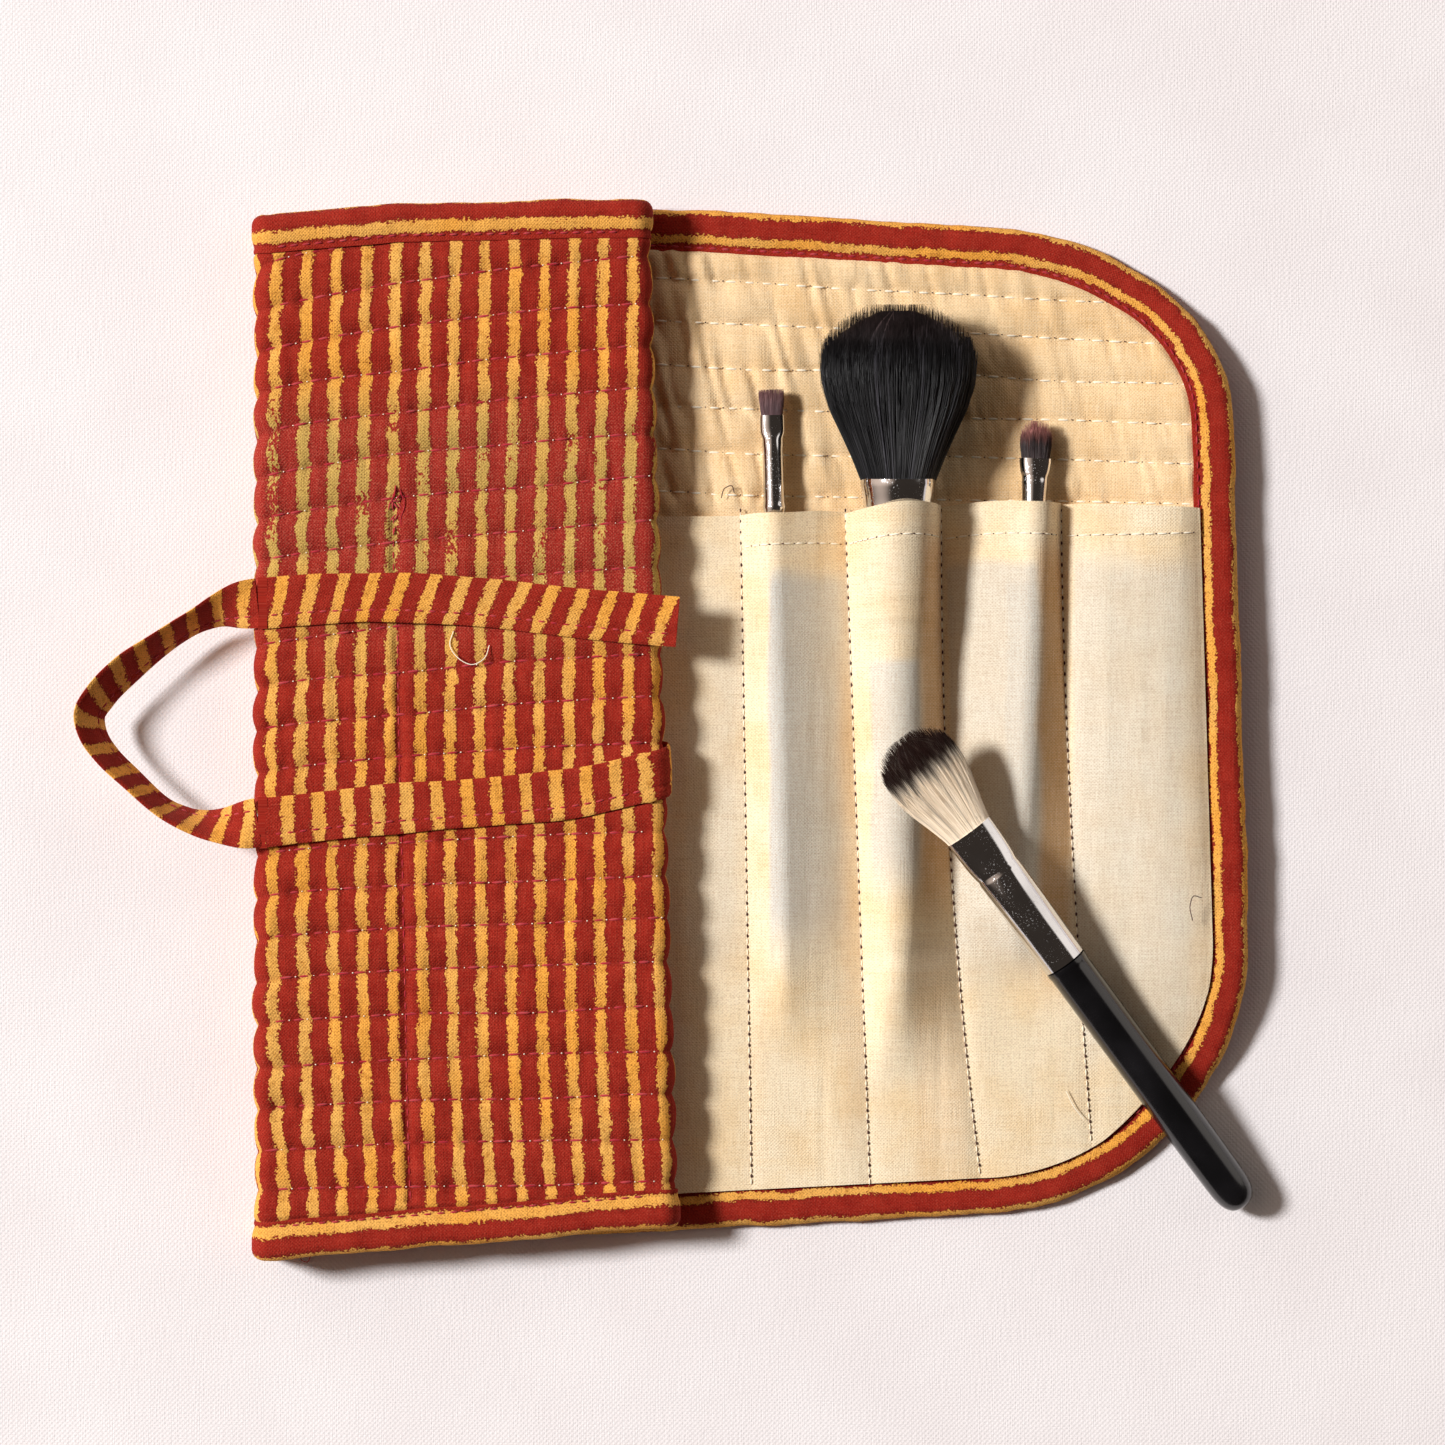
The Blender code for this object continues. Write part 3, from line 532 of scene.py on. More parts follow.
def chrome_material(name, speckled):
    """Chromed sleeve metal, with smears and, where it is speckled, small dull marks."""
    n = Nodes(name)
    place = n.add("ShaderNodeTexCoord").outputs["Object"]
    smears = n.noise(place, 90.0, 4.0)
    fine = n.noise(place, 900.0, 2.0)
    n.shader.inputs["Metallic"].default_value = 1.0
    colour = n.mix(n.ramp(smears, 0.3, 0.75), srgb(236, 236, 238), srgb(214, 214, 216))
    marks = n.ramp(n.noise(place, 2600.0, 4.0), 0.60, 0.68, 0.0, speckled)
    patches = n.ramp(n.noise(place, 160.0, 2.0), 0.42, 0.58)
    roughness = n.maths("ADD", n.ramp(smears, 0.3, 0.8, 0.07, 0.16), n.maths("MULTIPLY", marks, patches))
    return n.finish(colour, roughness, fine, 0.000004)


def lacquer_material():
    n = Nodes("black_lacquer")
    place = n.add("ShaderNodeTexCoord").outputs["Object"]
    smears = n.noise(place, 70.0, 4.0)
    colour = n.mix(n.ramp(smears, 0.3, 0.8), srgb(10, 10, 12), srgb(24, 23, 26))
    n.shader.inputs["Coat Weight"].default_value = 0.5
    n.shader.inputs["Coat Roughness"].default_value = 0.08
    return n.finish(colour, n.ramp(smears, 0.3, 0.8, 0.16, 0.3), smears, 0.00001)


def colour_mean(first, second):
    return [(a + b) / 2 for a, b in zip(first, second)]


def hair_material(name, tip, root, glint, start, end):
    """Brush hair that goes from one colour at the tips to another at the roots, between two
    distances from the brush's tip, which the mesh holds in millimetres. glint scales the tip and
    root colours into the painted highlight that some strands carry."""
    n = Nodes(name)
    s = n.attribute("from_tip")
    strand = n.attribute("strand")
    ragged = n.maths("ADD", s, n.maths("MULTIPLY", n.maths("SUBTRACT", strand, 0.5), 4.5))
    colour = n.mix(n.ramp(ragged, start, end), tip, root)
    deep = [0.35 * c for c in colour_mean(tip, root)]
    colour = n.mix(n.ramp(strand, 0.0, 0.5, 0.45, 0.0), colour, deep)
    # Painted highlight: strands with the highest strand values are lightened toward these glint colours.
    tip_glint, root_glint = [glint[0] * c for c in tip], [glint[1] * c for c in root]
    glints = n.mix(n.ramp(ragged, start, end), tip_glint, root_glint)
    colour = n.mix(n.ramp(strand, 0.78, 1.0, 0.0, 0.85), colour, glints)
    n.join(n.ramp(ragged, start, end, 0.05, 0.35), n.shader.inputs["Specular IOR Level"])
    return n.finish(colour, n.ramp(strand, 0.0, 1.0, 0.35, 0.6))


LOOKS = {
    "print": printed_cotton("printed_cotton"),
    "binding": printed_cotton("binding_cotton", 1.30),
    "panel_binding": printed_cotton("panel_binding_cotton", 0.92),
    "tie": printed_cotton("tie_cotton", 1.38),
    "lining": plain_cotton("lining_cotton", srgb(248, 216, 170), srgb(240, 201, 148)),
    "pocket": plain_cotton("pocket_cotton", srgb(250, 232, 200), srgb(244, 216, 172)),
    "red_thread": thread_material("red_thread", srgb(168, 26, 44), (214, 96, 96)),
    "cream_thread": thread_material("cream_thread", srgb(255, 246, 226), (236, 222, 196)),
    "dark_thread": thread_material("dark_thread", srgb(70, 36, 30), (110, 70, 60)),
    "chrome": chrome_material("chromed_sleeve", 0.35),
    "lacquer": lacquer_material(),
}

# ---------------------------------------------------------------- the folded part, swept
BEND = SHEET * math.pi / 2
FLAP_WIDTH = RIGHT_X - FOLD_X
INNER_RADIUS = 0.12 * MM

# Each section: its length across the fold and its columns, then its bodies: the one it rides
# on, or the two that a bend lies between.
SECTIONS = (
    ("lower_left_bend", BEND, 9, ("base", "left_fold")),
    ("left_fold", FLAP_Z - SHEET, 12, ("left_fold",)),
    ("upper_left_bend", BEND, 9, ("left_fold", "flap")),
    ("flap", FLAP_WIDTH, 150, ("flap",)),
    ("right_upper_bend", BEND, 9, ("flap", "right_fold")),
    ("right_fold", FLAP_Z - END_Z, 3, ("right_fold",)),
    ("right_lower_bend", BEND, 9, ("right_fold", "end_flap")),
    ("end_flap", END_LENGTH, 44, ("end_flap",)),
)
STARTS = np.concatenate(([0], np.cumsum([section[1] for section in SECTIONS])))
START = {section[0]: start for section, start in zip(SECTIONS, STARTS)}


def right_edge(y):
    """Where the flap's lining turns down at the right fold."""
    return RIGHT_X - LEAN * y


def sweep(s, y, d):
    """World points from distance across the folds, height, and offset from the lining's face."""
    s, y, d = np.broadcast_arrays(s, y, d)
    x, z = np.zeros(s.shape), np.zeros(s.shape)
    edge = right_edge(y)
    rounded = np.maximum(d, INNER_RADIUS)
    for number, (name, length, _, _) in enumerate(SECTIONS):
        a = s - STARTS[number]
        inside = (a >= 0) if number else np.ones(s.shape, bool)
        turn = np.clip(a / length, 0, 1) * math.pi / 2
        sine, cosine = np.sin(turn), np.cos(turn)
        if name == "lower_left_bend":
            px, pz = FOLD_X - rounded * sine, SHEET - rounded * cosine
        elif name == "left_fold":
            px, pz = FOLD_X - d, SHEET + a
        elif name == "upper_left_bend":
            px, pz = FOLD_X - rounded * cosine, FLAP_Z + rounded * sine
        elif name == "flap":
            px, pz = FOLD_X + a / FLAP_WIDTH * (edge - FOLD_X), FLAP_Z + d
        elif name == "right_upper_bend":
            px, pz = edge + rounded * sine, FLAP_Z + rounded * cosine
        elif name == "right_fold":
            px, pz = edge + d, FLAP_Z - a
        elif name == "right_lower_bend":
            px, pz = edge + rounded * cosine, END_Z - rounded * sine
        else:
            px, pz = edge - a, END_Z - d
        x, z = np.where(inside, px, x), np.where(inside, pz, z)
    return np.stack((x, y * np.ones(s.shape), z), -1)


def bend_ends(name):
    """The start and end points between which cloth turns at a bend."""
    hinge = {
        "lower_left_bend": ((FOLD_X, SHEET), (0, -1), (-1, 0)),
        "upper_left_bend": ((FOLD_X, FLAP_Z), (-1, 0), (0, 1)),
        "right_upper_bend": ((RIGHT_X, FLAP_Z), (0, 1), (1, 0)),
        "right_lower_bend": ((RIGHT_X, END_Z), (1, 0), (0, -1)),
    }
    (x, z), before, after = hinge[name]
    start = (x + before[0] * SHEET, 0.0, z + before[1] * SHEET)
    end = (x + after[0] * SHEET, 0.0, z + after[1] * SHEET)
    return start, end


def join_bodies(piece, section):
    """Makes a piece of a section ride on its body; a bend's piece, between two bodies, only has
    its place baked into its mesh.
    """
    name, _, _, bodies = section
    if len(bodies) == 1:
        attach(piece, bodies[0])
    else:
        start, end = bend_ends(name)
        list(bodies)
        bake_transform(piece)
        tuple(start)
        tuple(end)


def section_columns():
    """Positions across the whole folded part, and the slice of them that each section has. Each
    bend reaches one column into its neighbours, so that they don't meet when it is flat."""
    positions, slices = [0.0], []
    for number, (_, length, count, bodies) in enumerate(SECTIONS):
        first = len(positions) - 1
        positions += [STARTS[number] + length * (k + 1) / count for k in range(count)]
        if len(bodies) == 2:
            slices.append(slice(max(first - 1, 0), len(positions) + 1))
        else:
            slices.append(slice(first + 1, len(positions) - 1))
    slices[-1] = slice(slices[-1].start, len(positions))
    return np.array(positions), slices


COLUMNS, SLICES = section_columns()


def upper_edge(s):
    """The height of the folded part's upper edge."""
    wide = right_edge(FLAP_TOP) - FOLD_X
    x = (s - START["flap"]) / FLAP_WIDTH * wide
    top = np.interp(x, (0, FLAP_TOP_BEND[0], wide), (LEFT_TOP, FLAP_TOP_BEND[1], FLAP_TOP))
    return top - end_corner(s)


def lower_edge(s):
    """The height of the folded part's lower edge."""
    share = np.clip((s - START["flap"]) / FLAP_WIDTH, 0, 1)
    return LEFT_BOTTOM + (FLAP_BOTTOM - LEFT_BOTTOM) * share + end_corner(s)


END_CORNER = (32.0 * MM, 40.0 * MM)


def end_corner(s):
    """How far the end flap's rounded corners cut into its height."""
    wide, high = END_CORNER
    across = np.clip((s - START["end_flap"] - (END_LENGTH + MM - wide)) / wide, 0, 1)
    return high * (1 - np.sqrt(1 - across**2)) + np.where(s > START["end_flap"], 0.8 * MM, 0)


# The quilting of the outer cloth: rows of stitches from the left edge to the right.
ROW_GAP_LEFT, ROW_GAP_RIGHT = 9.52 * MM, 10.05 * MM
ROW_TOP_LEFT, ROW_TOP_RIGHT = 101.4 * MM, 115.5 * MM
ROW_COUNT = 23


def row_spread(s):
    """The height of the first row of stitches, and the gap between rows."""
    first, last = START["upper_left_bend"], START["right_upper_bend"]
    share = np.clip((s - first) / (last - first), 0, 1)
    share = share**0.6
    top = ROW_TOP_LEFT + (ROW_TOP_RIGHT - ROW_TOP_LEFT) * share
    return top, ROW_GAP_LEFT + (ROW_GAP_RIGHT - ROW_GAP_LEFT) * share


def row_wander(s, y):
    return 0.55 * MM * noise(s, y, 26 * MM, 9.7 * MM, 11)


def puff_shape(phase):
    return 1 - np.abs(2 * phase - 1) ** 2.2


def row_phase(s, y):
    """Rows of stitches passed from the top: whole numbers are on a row."""
    top, gap = row_spread(s)
    return (top - y - row_wander(s, y)) / gap


def row_nearness(s, y):
    """1 on a row of the outer cloth's stitches, falling off over a millimetre."""
    rows = row_phase(s, y)
    gap = row_spread(s)[1]
    apart = np.abs(rows - np.round(rows)) * gap
    return np.exp(-((apart / (0.6 * MM)) ** 2)) * (rows > -0.5) * (rows < ROW_COUNT - 0.5)


def seam_nearness(s, y):
    """1 on the seam that ends the pocket cloth, which runs down the flap."""
    x = FOLD_X + s - START["flap"]
    line = END_SEAM[0] + (END_SEAM[1] - END_SEAM[0]) * (END_SEAM[2] - y) / (END_SEAM[2] - END_SEAM[3])
    line = line + 0.4 * MM * noise(0 * y, y, 1.0, 17 * MM, 15)
    there = (y < END_SEAM[2]) & (y > END_SEAM[3])
    return np.exp(-(((x - line) / (0.9 * MM)) ** 2)) * there, x - line


def outer_puff(s, y):
    """How far the outer cloth stands out from its middle level."""
    rows = row_phase(s, y)
    phase = rows - np.floor(rows)
    inside = smooth_step(-rows, -ROW_COUNT + 0.4, -ROW_COUNT - 0.1)
    puff = puff_shape(phase) * (1 - inside) + inside * 0.5
    near_seam = 1 - puff
    pucker = noise(s, y, 1.9 * MM, 8 * MM, 12) * (0.10 + 0.30 * near_seam)
    folds = noise(s, y, 3.6 * MM, 30 * MM, 16) * 0.14
    swell = 0.26 * noise(s, y, 15 * MM, 10.5 * MM, 13) + 0.14 * noise(s, y, 6 * MM, 5 * MM, 14)
    seam, beyond = seam_nearness(s, y)
    level = -0.75 + 1.05 * puff + pucker + folds + swell * (0.35 + 0.65 * puff)
    beside = np.exp(-(((beyond - 3 * MM) / (2 * MM)) ** 2))
    return (level - 0.8 * seam * (0.3 + puff) + 0.25 * beside) * MM


# The seam that ends the pocket cloth: x at its top and bottom, and their heights.
END_SEAM = (-81.0 * MM, -78.0 * MM, 51.0 * MM, -110.0 * MM)


def under_binding(distance):
    """1 where the sheet is pressed flat inside its binding, by distance from the edge."""
    return smooth_step(distance, 9.4 * MM, 7.8 * MM)


def flatten_under_tie(s, y):
    """1 where the tie lies on the flap."""
    x = FOLD_X + (s - START["flap"])
    lower = np.interp(x, TIE_LOWER_X, TIE_LOWER_Y)
    free = np.interp(x, TIE_FREE_X, TIE_FREE_Y)
    half = TIE_WIDTH / 2
    near = np.minimum(np.abs(y - lower), np.abs(y - free))
    return smooth_step(near, half + 1.5 * MM, half - 1.0 * MM) * (s > START["upper_left_bend"])


# The tie's route over the flap.
TIE_LOWER = ((-110.0, -23.4), (-84.9, -20.6), (-56.8, -18.4), (-38.0, -16.4), (-24.0, -13.2))
TIE_FREE = (
    (-110.0, 26.6, 0.0),
    (-103.0, 27.2, 0.0),
    (-96.0, 27.6, 0.0),
    (-84.9, 27.9, 0.0),
    (-61.4, 26.8, 0.0),
    (-38.0, 24.2, 0.0),
    (-26.0, 23.1, 0.3),
    (-16.3, 22.3, 1.3),
)
TIE_LOWER_X, TIE_LOWER_Y = (np.array(column) * MM for column in zip(*TIE_LOWER))
TIE_FREE_X, TIE_FREE_Y = (np.array(column) * MM for column in list(zip(*TIE_FREE))[:2])


def stripe_phase(x, y):
    """Where a point of the outer cloth lies across the printed stripes."""
    height = np.clip((FLAP_TOP - y) / (FLAP_TOP - LEFT_BOTTOM), 0, 1)
    drift = 1.3 * MM * np.sin(height * math.pi) ** 1.5 - 3.5 * MM * smooth_step(height, 0.75, 1.2)
    return x + 26.3 * MM + drift + STRIPE / 2


def make_folded_sheet():
    """The quilted sheet from the left bend to the end flap, one closed piece for each section."""
    rows = 430
    up = np.linspace(0, 1, rows)[:, None]
    s = np.broadcast_to(COLUMNS[None], (rows, len(COLUMNS)))
    inset = 1.0 * MM
    low, high = lower_edge(COLUMNS)[None] + inset, upper_edge(COLUMNS)[None] - inset
    y = low + (high - low) * up
    distance = np.minimum(y - low, high - y) + inset
    pressed = under_binding(distance)
    puff = outer_puff(s, y)
    under_tie = flatten_under_tie(s, y)
    puff = puff * (1 - under_tie) + np.minimum(puff, 0.0) * under_tie
    outer = sweep(s, y, SHEET + puff * (1 - pressed) - 0.55 * MM * pressed)
    lining_puff = 0.2 * MM + 0.35 * MM * (1 - puff_shape(np.mod((y - ROW_TOP_LEFT) / ROW_GAP_LEFT, 1)))
    inner = sweep(s, y, lining_puff * (1 - pressed) + 0.55 * MM * pressed)
    across = np.where(s < START["flap"], FOLD_X - (START["flap"] - s), outer[..., 0])
    beyond = s > START["right_upper_bend"]
    across = np.where(beyond, right_edge(y) + (s - START["right_upper_bend"]), across)
    # Near the left fold each puff carries the stripes out to the left.
    bowed = 0.75 * MM * (puff / MM + 0.4) * np.exp(-np.abs(across - FOLD_X) / (22 * MM))
    uv = np.stack((stripe_phase(across + bowed, y), y), -1)
    fade = smooth_step(y, 8 * MM, 30 * MM) * (1 - smooth_step(y, 62 * MM, 82 * MM))
    worn = smooth_step(y, 30 * MM, 42 * MM) * (1 - smooth_step(y, 64 * MM, 76 * MM))
    # groove marks the stitch rows and the pocket seam, where the print material adds painted shade.
    groove = np.maximum(row_nearness(s, y), seam_nearness(s, y)[0] * 0.8) * (1 - pressed)
    normals = grid_normals(outer), grid_normals(inner)
    for section, part in zip(SECTIONS, SLICES):
        name = section[0]
        piece = slab(
            name + "_quilt",
            outer[:, part],
            inner[:, part],
            (LOOKS["print"], LOOKS["lining"]),
            uv[:, part],
            normals=(normals[0][:, part], normals[1][:, part]),
            attributes={
                "fade": fade[:, part],
                "worn": worn[:, part],
                "groove": groove[:, part],
                "ghost": 0 * fade[:, part],
                "warm": 0 * fade[:, part],
            },
        )
        join_bodies(piece, section)
        if len(section[3]) == 1:
            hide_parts(name + "_outer_shell", name + "_batting", name + "_lining")


# ---------------------------------------------------------------- the binding
BINDING_ROUND = SHEET / 2 + 0.35 * MM
BINDING_FLAT = 12
BINDING_ARC = 8


def binding_profile(width):
    """Across the folded strip: inset from the edge, offset from the lining's face, outward lift
    direction, how much it puffs, and distance round it."""
    flat = np.linspace(width, BINDING_ROUND, BINDING_FLAT)
    turn = np.linspace(0, math.pi, BINDING_ARC + 2)[1:-1]
    inset = np.concatenate((flat, BINDING_ROUND * (1 - np.sin(turn)), flat[::-1]))
    middle = SHEET / 2
    offset = np.concatenate(
        (
            np.full(BINDING_FLAT, middle + BINDING_ROUND),
            middle + BINDING_ROUND * np.cos(turn),
            np.full(BINDING_FLAT, middle - BINDING_ROUND),
        )
    )
    lift = np.stack(
        (
            np.concatenate((np.zeros(BINDING_FLAT), -np.sin(turn), np.zeros(BINDING_FLAT))),
            np.concatenate((np.ones(BINDING_FLAT), np.cos(turn), -np.ones(BINDING_FLAT))),
        ),
        -1,
    )
    around = np.concatenate(([0], np.cumsum(np.hypot(np.diff(inset), np.diff(offset)))))
    seam = np.exp(-(((inset - width + 1.3 * MM) / (0.55 * MM)) ** 2))
    end = smooth_step(inset, width - 0.5 * MM, width)
    body = smooth_step(inset, width - 1.5 * MM, width - 4 * MM)
    puff = 0.42 * body - 0.30 * seam - 0.18 * end
    return inset, offset, lift, puff, around


def binding_grids(place, length_at, seed, width=BINDING_WIDTH):
    """Outer and inner grids of a binding, with its cloth coordinates. place maps inset and offset
    at each point along the edge to the world."""
    inset, offset, lift, puff, around = binding_profile(width)
    along = length_at[None, :]
    spot = along * np.ones((len(inset), 1)), around[:, None] * np.ones_like(along)
    ripple = 0.16 * noise(*spot, 3.1 * MM, 9 * MM, seed)
    swell = 0.16 * noise(*spot, 11 * MM, 30 * MM, seed + 1)
    puff = puff[:, None]
    raised = (puff * (1 + 1.2 * swell) + ripple * (0.4 + np.abs(puff)) + swell * 0.6) * MM
    edge_wave = 0.25 * MM * noise(along, 0 * along, 9 * MM, 1.0, seed + 2)
    skins = []
    for sink in (0.0, CLOTH):
        moved_in = inset[:, None] + lift[:, :1] * (raised - sink) + edge_wave
        moved_off = offset[:, None] + lift[:, 1:] * (raised - sink)
        skins.append(place(moved_in, moved_off))
    uv = np.stack(np.broadcast_arrays(around[:, None], along), -1)
    return skins[0], skins[1], uv


BINDING_STITCH_PITCH = 2.9 * MM


def stitch_line(place, length_at, side, inset=BINDING_WIDTH - 1.3 * MM):
    """Places, directions and up vectors of topstitching along a binding's inner edge. side is 1
    on the outer cloth and -1 on the lining."""
    pitch = BINDING_STITCH_PITCH
    fine = np.arange(length_at[0] + pitch, length_at[-1] - pitch, pitch)
    offset = SHEET / 2 + side * (BINDING_ROUND - 0.02 * MM)

    def at(shift_in, shift_off, shift_along):
        across = np.full((1, 1), inset + shift_in)
        height = np.full((1, 1), offset + shift_off)
        return place(across, height, fine + shift_along)[0]

    return at(0, 0, 0), at(0, 0, 0.3 * MM) - at(0, 0, -0.3 * MM), at(0, side * 0.3 * MM, 0) - at(0, 0, 0)


STRIP_OFFSETS = {"upper": -0.1 * MM, "lower": 0.95 * MM}


def make_strip_bindings():
    """Bindings along the upper and lower edges of the folded part."""
    last = SLICES[-2].stop - 1
    s = COLUMNS[:last]
    for number, (side, edge, sign) in enumerate((("upper", upper_edge, -1), ("lower", lower_edge, 1))):

        def place(inset, offset, along=s):
            return sweep(along[None] * np.ones_like(inset), edge(along)[None] + sign * inset, offset)

        outer, inner, uv = binding_grids(place, s, 30 + 5 * number)
        uv[..., 0] += STRIP_OFFSETS[side]
        normals = grid_normals(outer), grid_normals(inner)
        for section, part in zip(SECTIONS[:-1], SLICES[:-1]):
            name = section[0]
            zero = np.zeros(outer[:, part].shape[:2])
            piece = slab(
                "%s_binding_%s" % (name, side),
                outer[:, part],
                inner[:, part],
                (LOOKS["binding"], LOOKS["binding"]),
                uv[:, part],
                normals=(normals[0][:, part], normals[1][:, part]),
                attributes={"fade": zero},
            )
            join_bodies(piece, section)
            length = max(section[1], 10.0 * MM)
            if len(section[3]) == 1:
                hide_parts("%s_binding_%s" % (name, side))
        flap_s = np.linspace(START["flap"], START["right_upper_bend"], 40)
        row = stitch_line(place, flap_s, 1)
        name = "flap_binding_stitches_" + side
        thread = stitches(name, *row, 1.9 * MM, 0.22 * MM, LOOKS["red_thread"])
        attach(thread, "flap")


# ---------------------------------------------------------------- the open panel
CURL = 4.6 * MM


def lay_on_table(piece):
    """Makes a piece ride on the open panel, whose right edge curls up a little."""
    mesh = piece.data
    points = np.zeros(len(mesh.vertices) * 3, np.float32)
    mesh.vertices.foreach_get("co", points)
    points = points.reshape(-1, 3)
    x, y = points[:, 0], points[:, 1]
    high = smooth_step(x, 64 * MM, 113 * MM) * smooth_step(y, -92 * MM, -55 * MM)
    points[:, 2] += CURL * high * (1 - 0.8 * smooth_step(y, 74 * MM, 108 * MM))
    mesh.vertices.foreach_set("co", points.ravel())
    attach(piece, "base")


CORNER_POINTS = 40


def arc(corner, start, end):
    x, y, wide, high = corner
    angles = np.radians(np.linspace(start, end, CORNER_POINTS))
    return [(x + wide * math.cos(a), y + high * math.sin(a)) for a in angles]


def panel_outline():
    """Evenly spaced points down the open panel's bound edge, their inward directions and their
    distances along it."""
    points = [(FOLD_X, LEFT_TOP), TOP_CREST] + arc(TOP_CORNER, 90, 0) + arc(BOTTOM_CORNER, 0, -90)
    points = np.array(points + [BOTTOM_BEND, (FOLD_X, LEFT_BOTTOM)])
    at = length_along(points)
    fine = np.linspace(0, at[-1], 900)
    line = np.stack([np.interp(fine, at, points[:, k]) for k in (0, 1)], -1)
    width = 13
    smooth = np.pad(line, ((width // 2, width // 2), (0, 0)), mode="edge")
    smooth = np.stack([np.convolve(smooth[:, k], np.ones(width) / width, "valid") for k in (0, 1)], -1)
    smooth[:, 0] = np.where(fine < 4 * MM, line[:, 0], smooth[:, 0])
    smooth[:, 0] = np.where(fine > at[-1] - 4 * MM, line[:, 0], smooth[:, 0])
    along = unit(np.gradient(smooth, axis=0))
    inward = np.stack((along[:, 1], -along[:, 0]), -1)
    return smooth, inward, fine


OUTLINE, INWARD, OUTLINE_LENGTH = panel_outline()


def edge_distance(x, y):
    """Distance in from the panel's bound edge; below 0 outside it."""
    found = np.full(x.size, 1.0)
    sign = np.ones(x.size)
    spots = np.stack((x.ravel(), y.ravel()), -1)
    for start in range(0, len(spots), 20000):
        part = spots[start : start + 20000]
        apart = part[:, None] - OUTLINE[None, ::3]
        gaps = np.linalg.norm(apart, axis=-1)
        nearest = gaps.argmin(1)
        picked = apart[np.arange(len(part)), nearest]
        side = np.einsum("ij,ij->i", picked, INWARD[::3][nearest])
        found[start : start + 20000] = gaps[np.arange(len(part)), nearest]
        sign[start : start + 20000] = np.sign(side)
    return (found * sign).reshape(x.shape)


LINING_TOP, LINING_GAP = (101.2 * MM, 95.2 * MM), (9.84 * MM, 9.14 * MM)
LINING_SPAN = (-22.0 * MM, 98.0 * MM)


def lining_rows(x):
    """The lining's first row, the gap between rows, and the share of the way to the right."""
    share = np.clip((x - LINING_SPAN[0]) / (LINING_SPAN[1] - LINING_SPAN[0]), -0.3, 1.1)
    top = LINING_TOP[0] + (LINING_TOP[1] - LINING_TOP[0]) * share
    return top, LINING_GAP[0] + (LINING_GAP[1] - LINING_GAP[0]) * share, share


def lining_wander(x, y):
    return 0.6 * MM * noise(x, y, 24 * MM, 9 * MM, 51)


def lining_puff(x, y):
    """How far the lining stands out from its middle level."""
    top, gap, share = lining_rows(x)
    rows = (top - y - lining_wander(x, y)) / gap
    puff = puff_shape(rows - np.floor(rows))
    strong = np.clip(1.25 - 0.85 * share, 0.35, 1.25)
    leaning = x + 0.25 * y
    # Gathered between the rows: rounded bulges side by side with narrow creases between them.
    gather = 1.9 * np.abs(noise(leaning, y, 3.1 * MM, 9.5 * MM, 52)) - 0.6
    pucker = gather * (0.34 + 0.34 * (1 - puff)) * strong
    long_pucker = (1.9 * np.abs(noise(leaning, y, 4.6 * MM, 26 * MM, 54)) - 0.6) * 0.34 * strong
    swell = 0.25 * noise(x, y, 17 * MM, 12 * MM, 53)
    return (-0.95 + 1.1 * puff + pucker + long_pucker + swell) * MM


def make_base_quilt():
    spacing = 0.7 * MM
    x = np.arange(FOLD_X, BOTTOM_CORNER[0] + BOTTOM_CORNER[2], spacing)
    y = np.arange(LEFT_BOTTOM, TOP_CREST[1] + spacing, spacing)
    x, y = np.meshgrid(x, y)
    distance = edge_distance(x, y)
    inside = distance > 1.2 * MM
    keep = inside[:-1, :-1] & inside[1:, :-1] & inside[:-1, 1:] & inside[1:, 1:]
    pressed = under_binding(distance - 0.8 * MM)
    covered = smooth_step(y, POCKET_TOP + 2.5 * MM, POCKET_TOP - 2.5 * MM)
    high = lining_puff(x, y) * (1 - 0.8 * covered) - 0.6 * MM * covered
    top = SHEET + high * (1 - pressed) - 0.85 * MM * pressed
    sunk = 0.15 * MM + 0.3 * MM * (1 - puff_shape(np.mod(y / ROW_GAP_RIGHT, 1)))
    low = sunk * (1 - pressed) + 0.5 * MM * pressed
    outer, inner = np.stack((x, y, top), -1), np.stack((x, y, low), -1)
    uv = np.stack((x, y), -1)
    zero = np.zeros(x.shape)
    piece = slab(
        "base_quilt",
        outer,
        inner,
        (LOOKS["lining"], LOOKS["print"]),
        uv,
        keep=keep,
        uv_inner=np.stack((stripe_phase(x, y), y), -1),
        attributes={"fade": zero, "ghost": zero, "warm": zero},
    )
    lay_on_table(piece)
    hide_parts("base_outer_shell", "base_batting", "base_lining")


PANEL_BINDING = 9.3 * MM
BINDING_SINK = 0.3 * MM
PANEL_STRIPES = (2.9 * MM, 6.4 * MM)


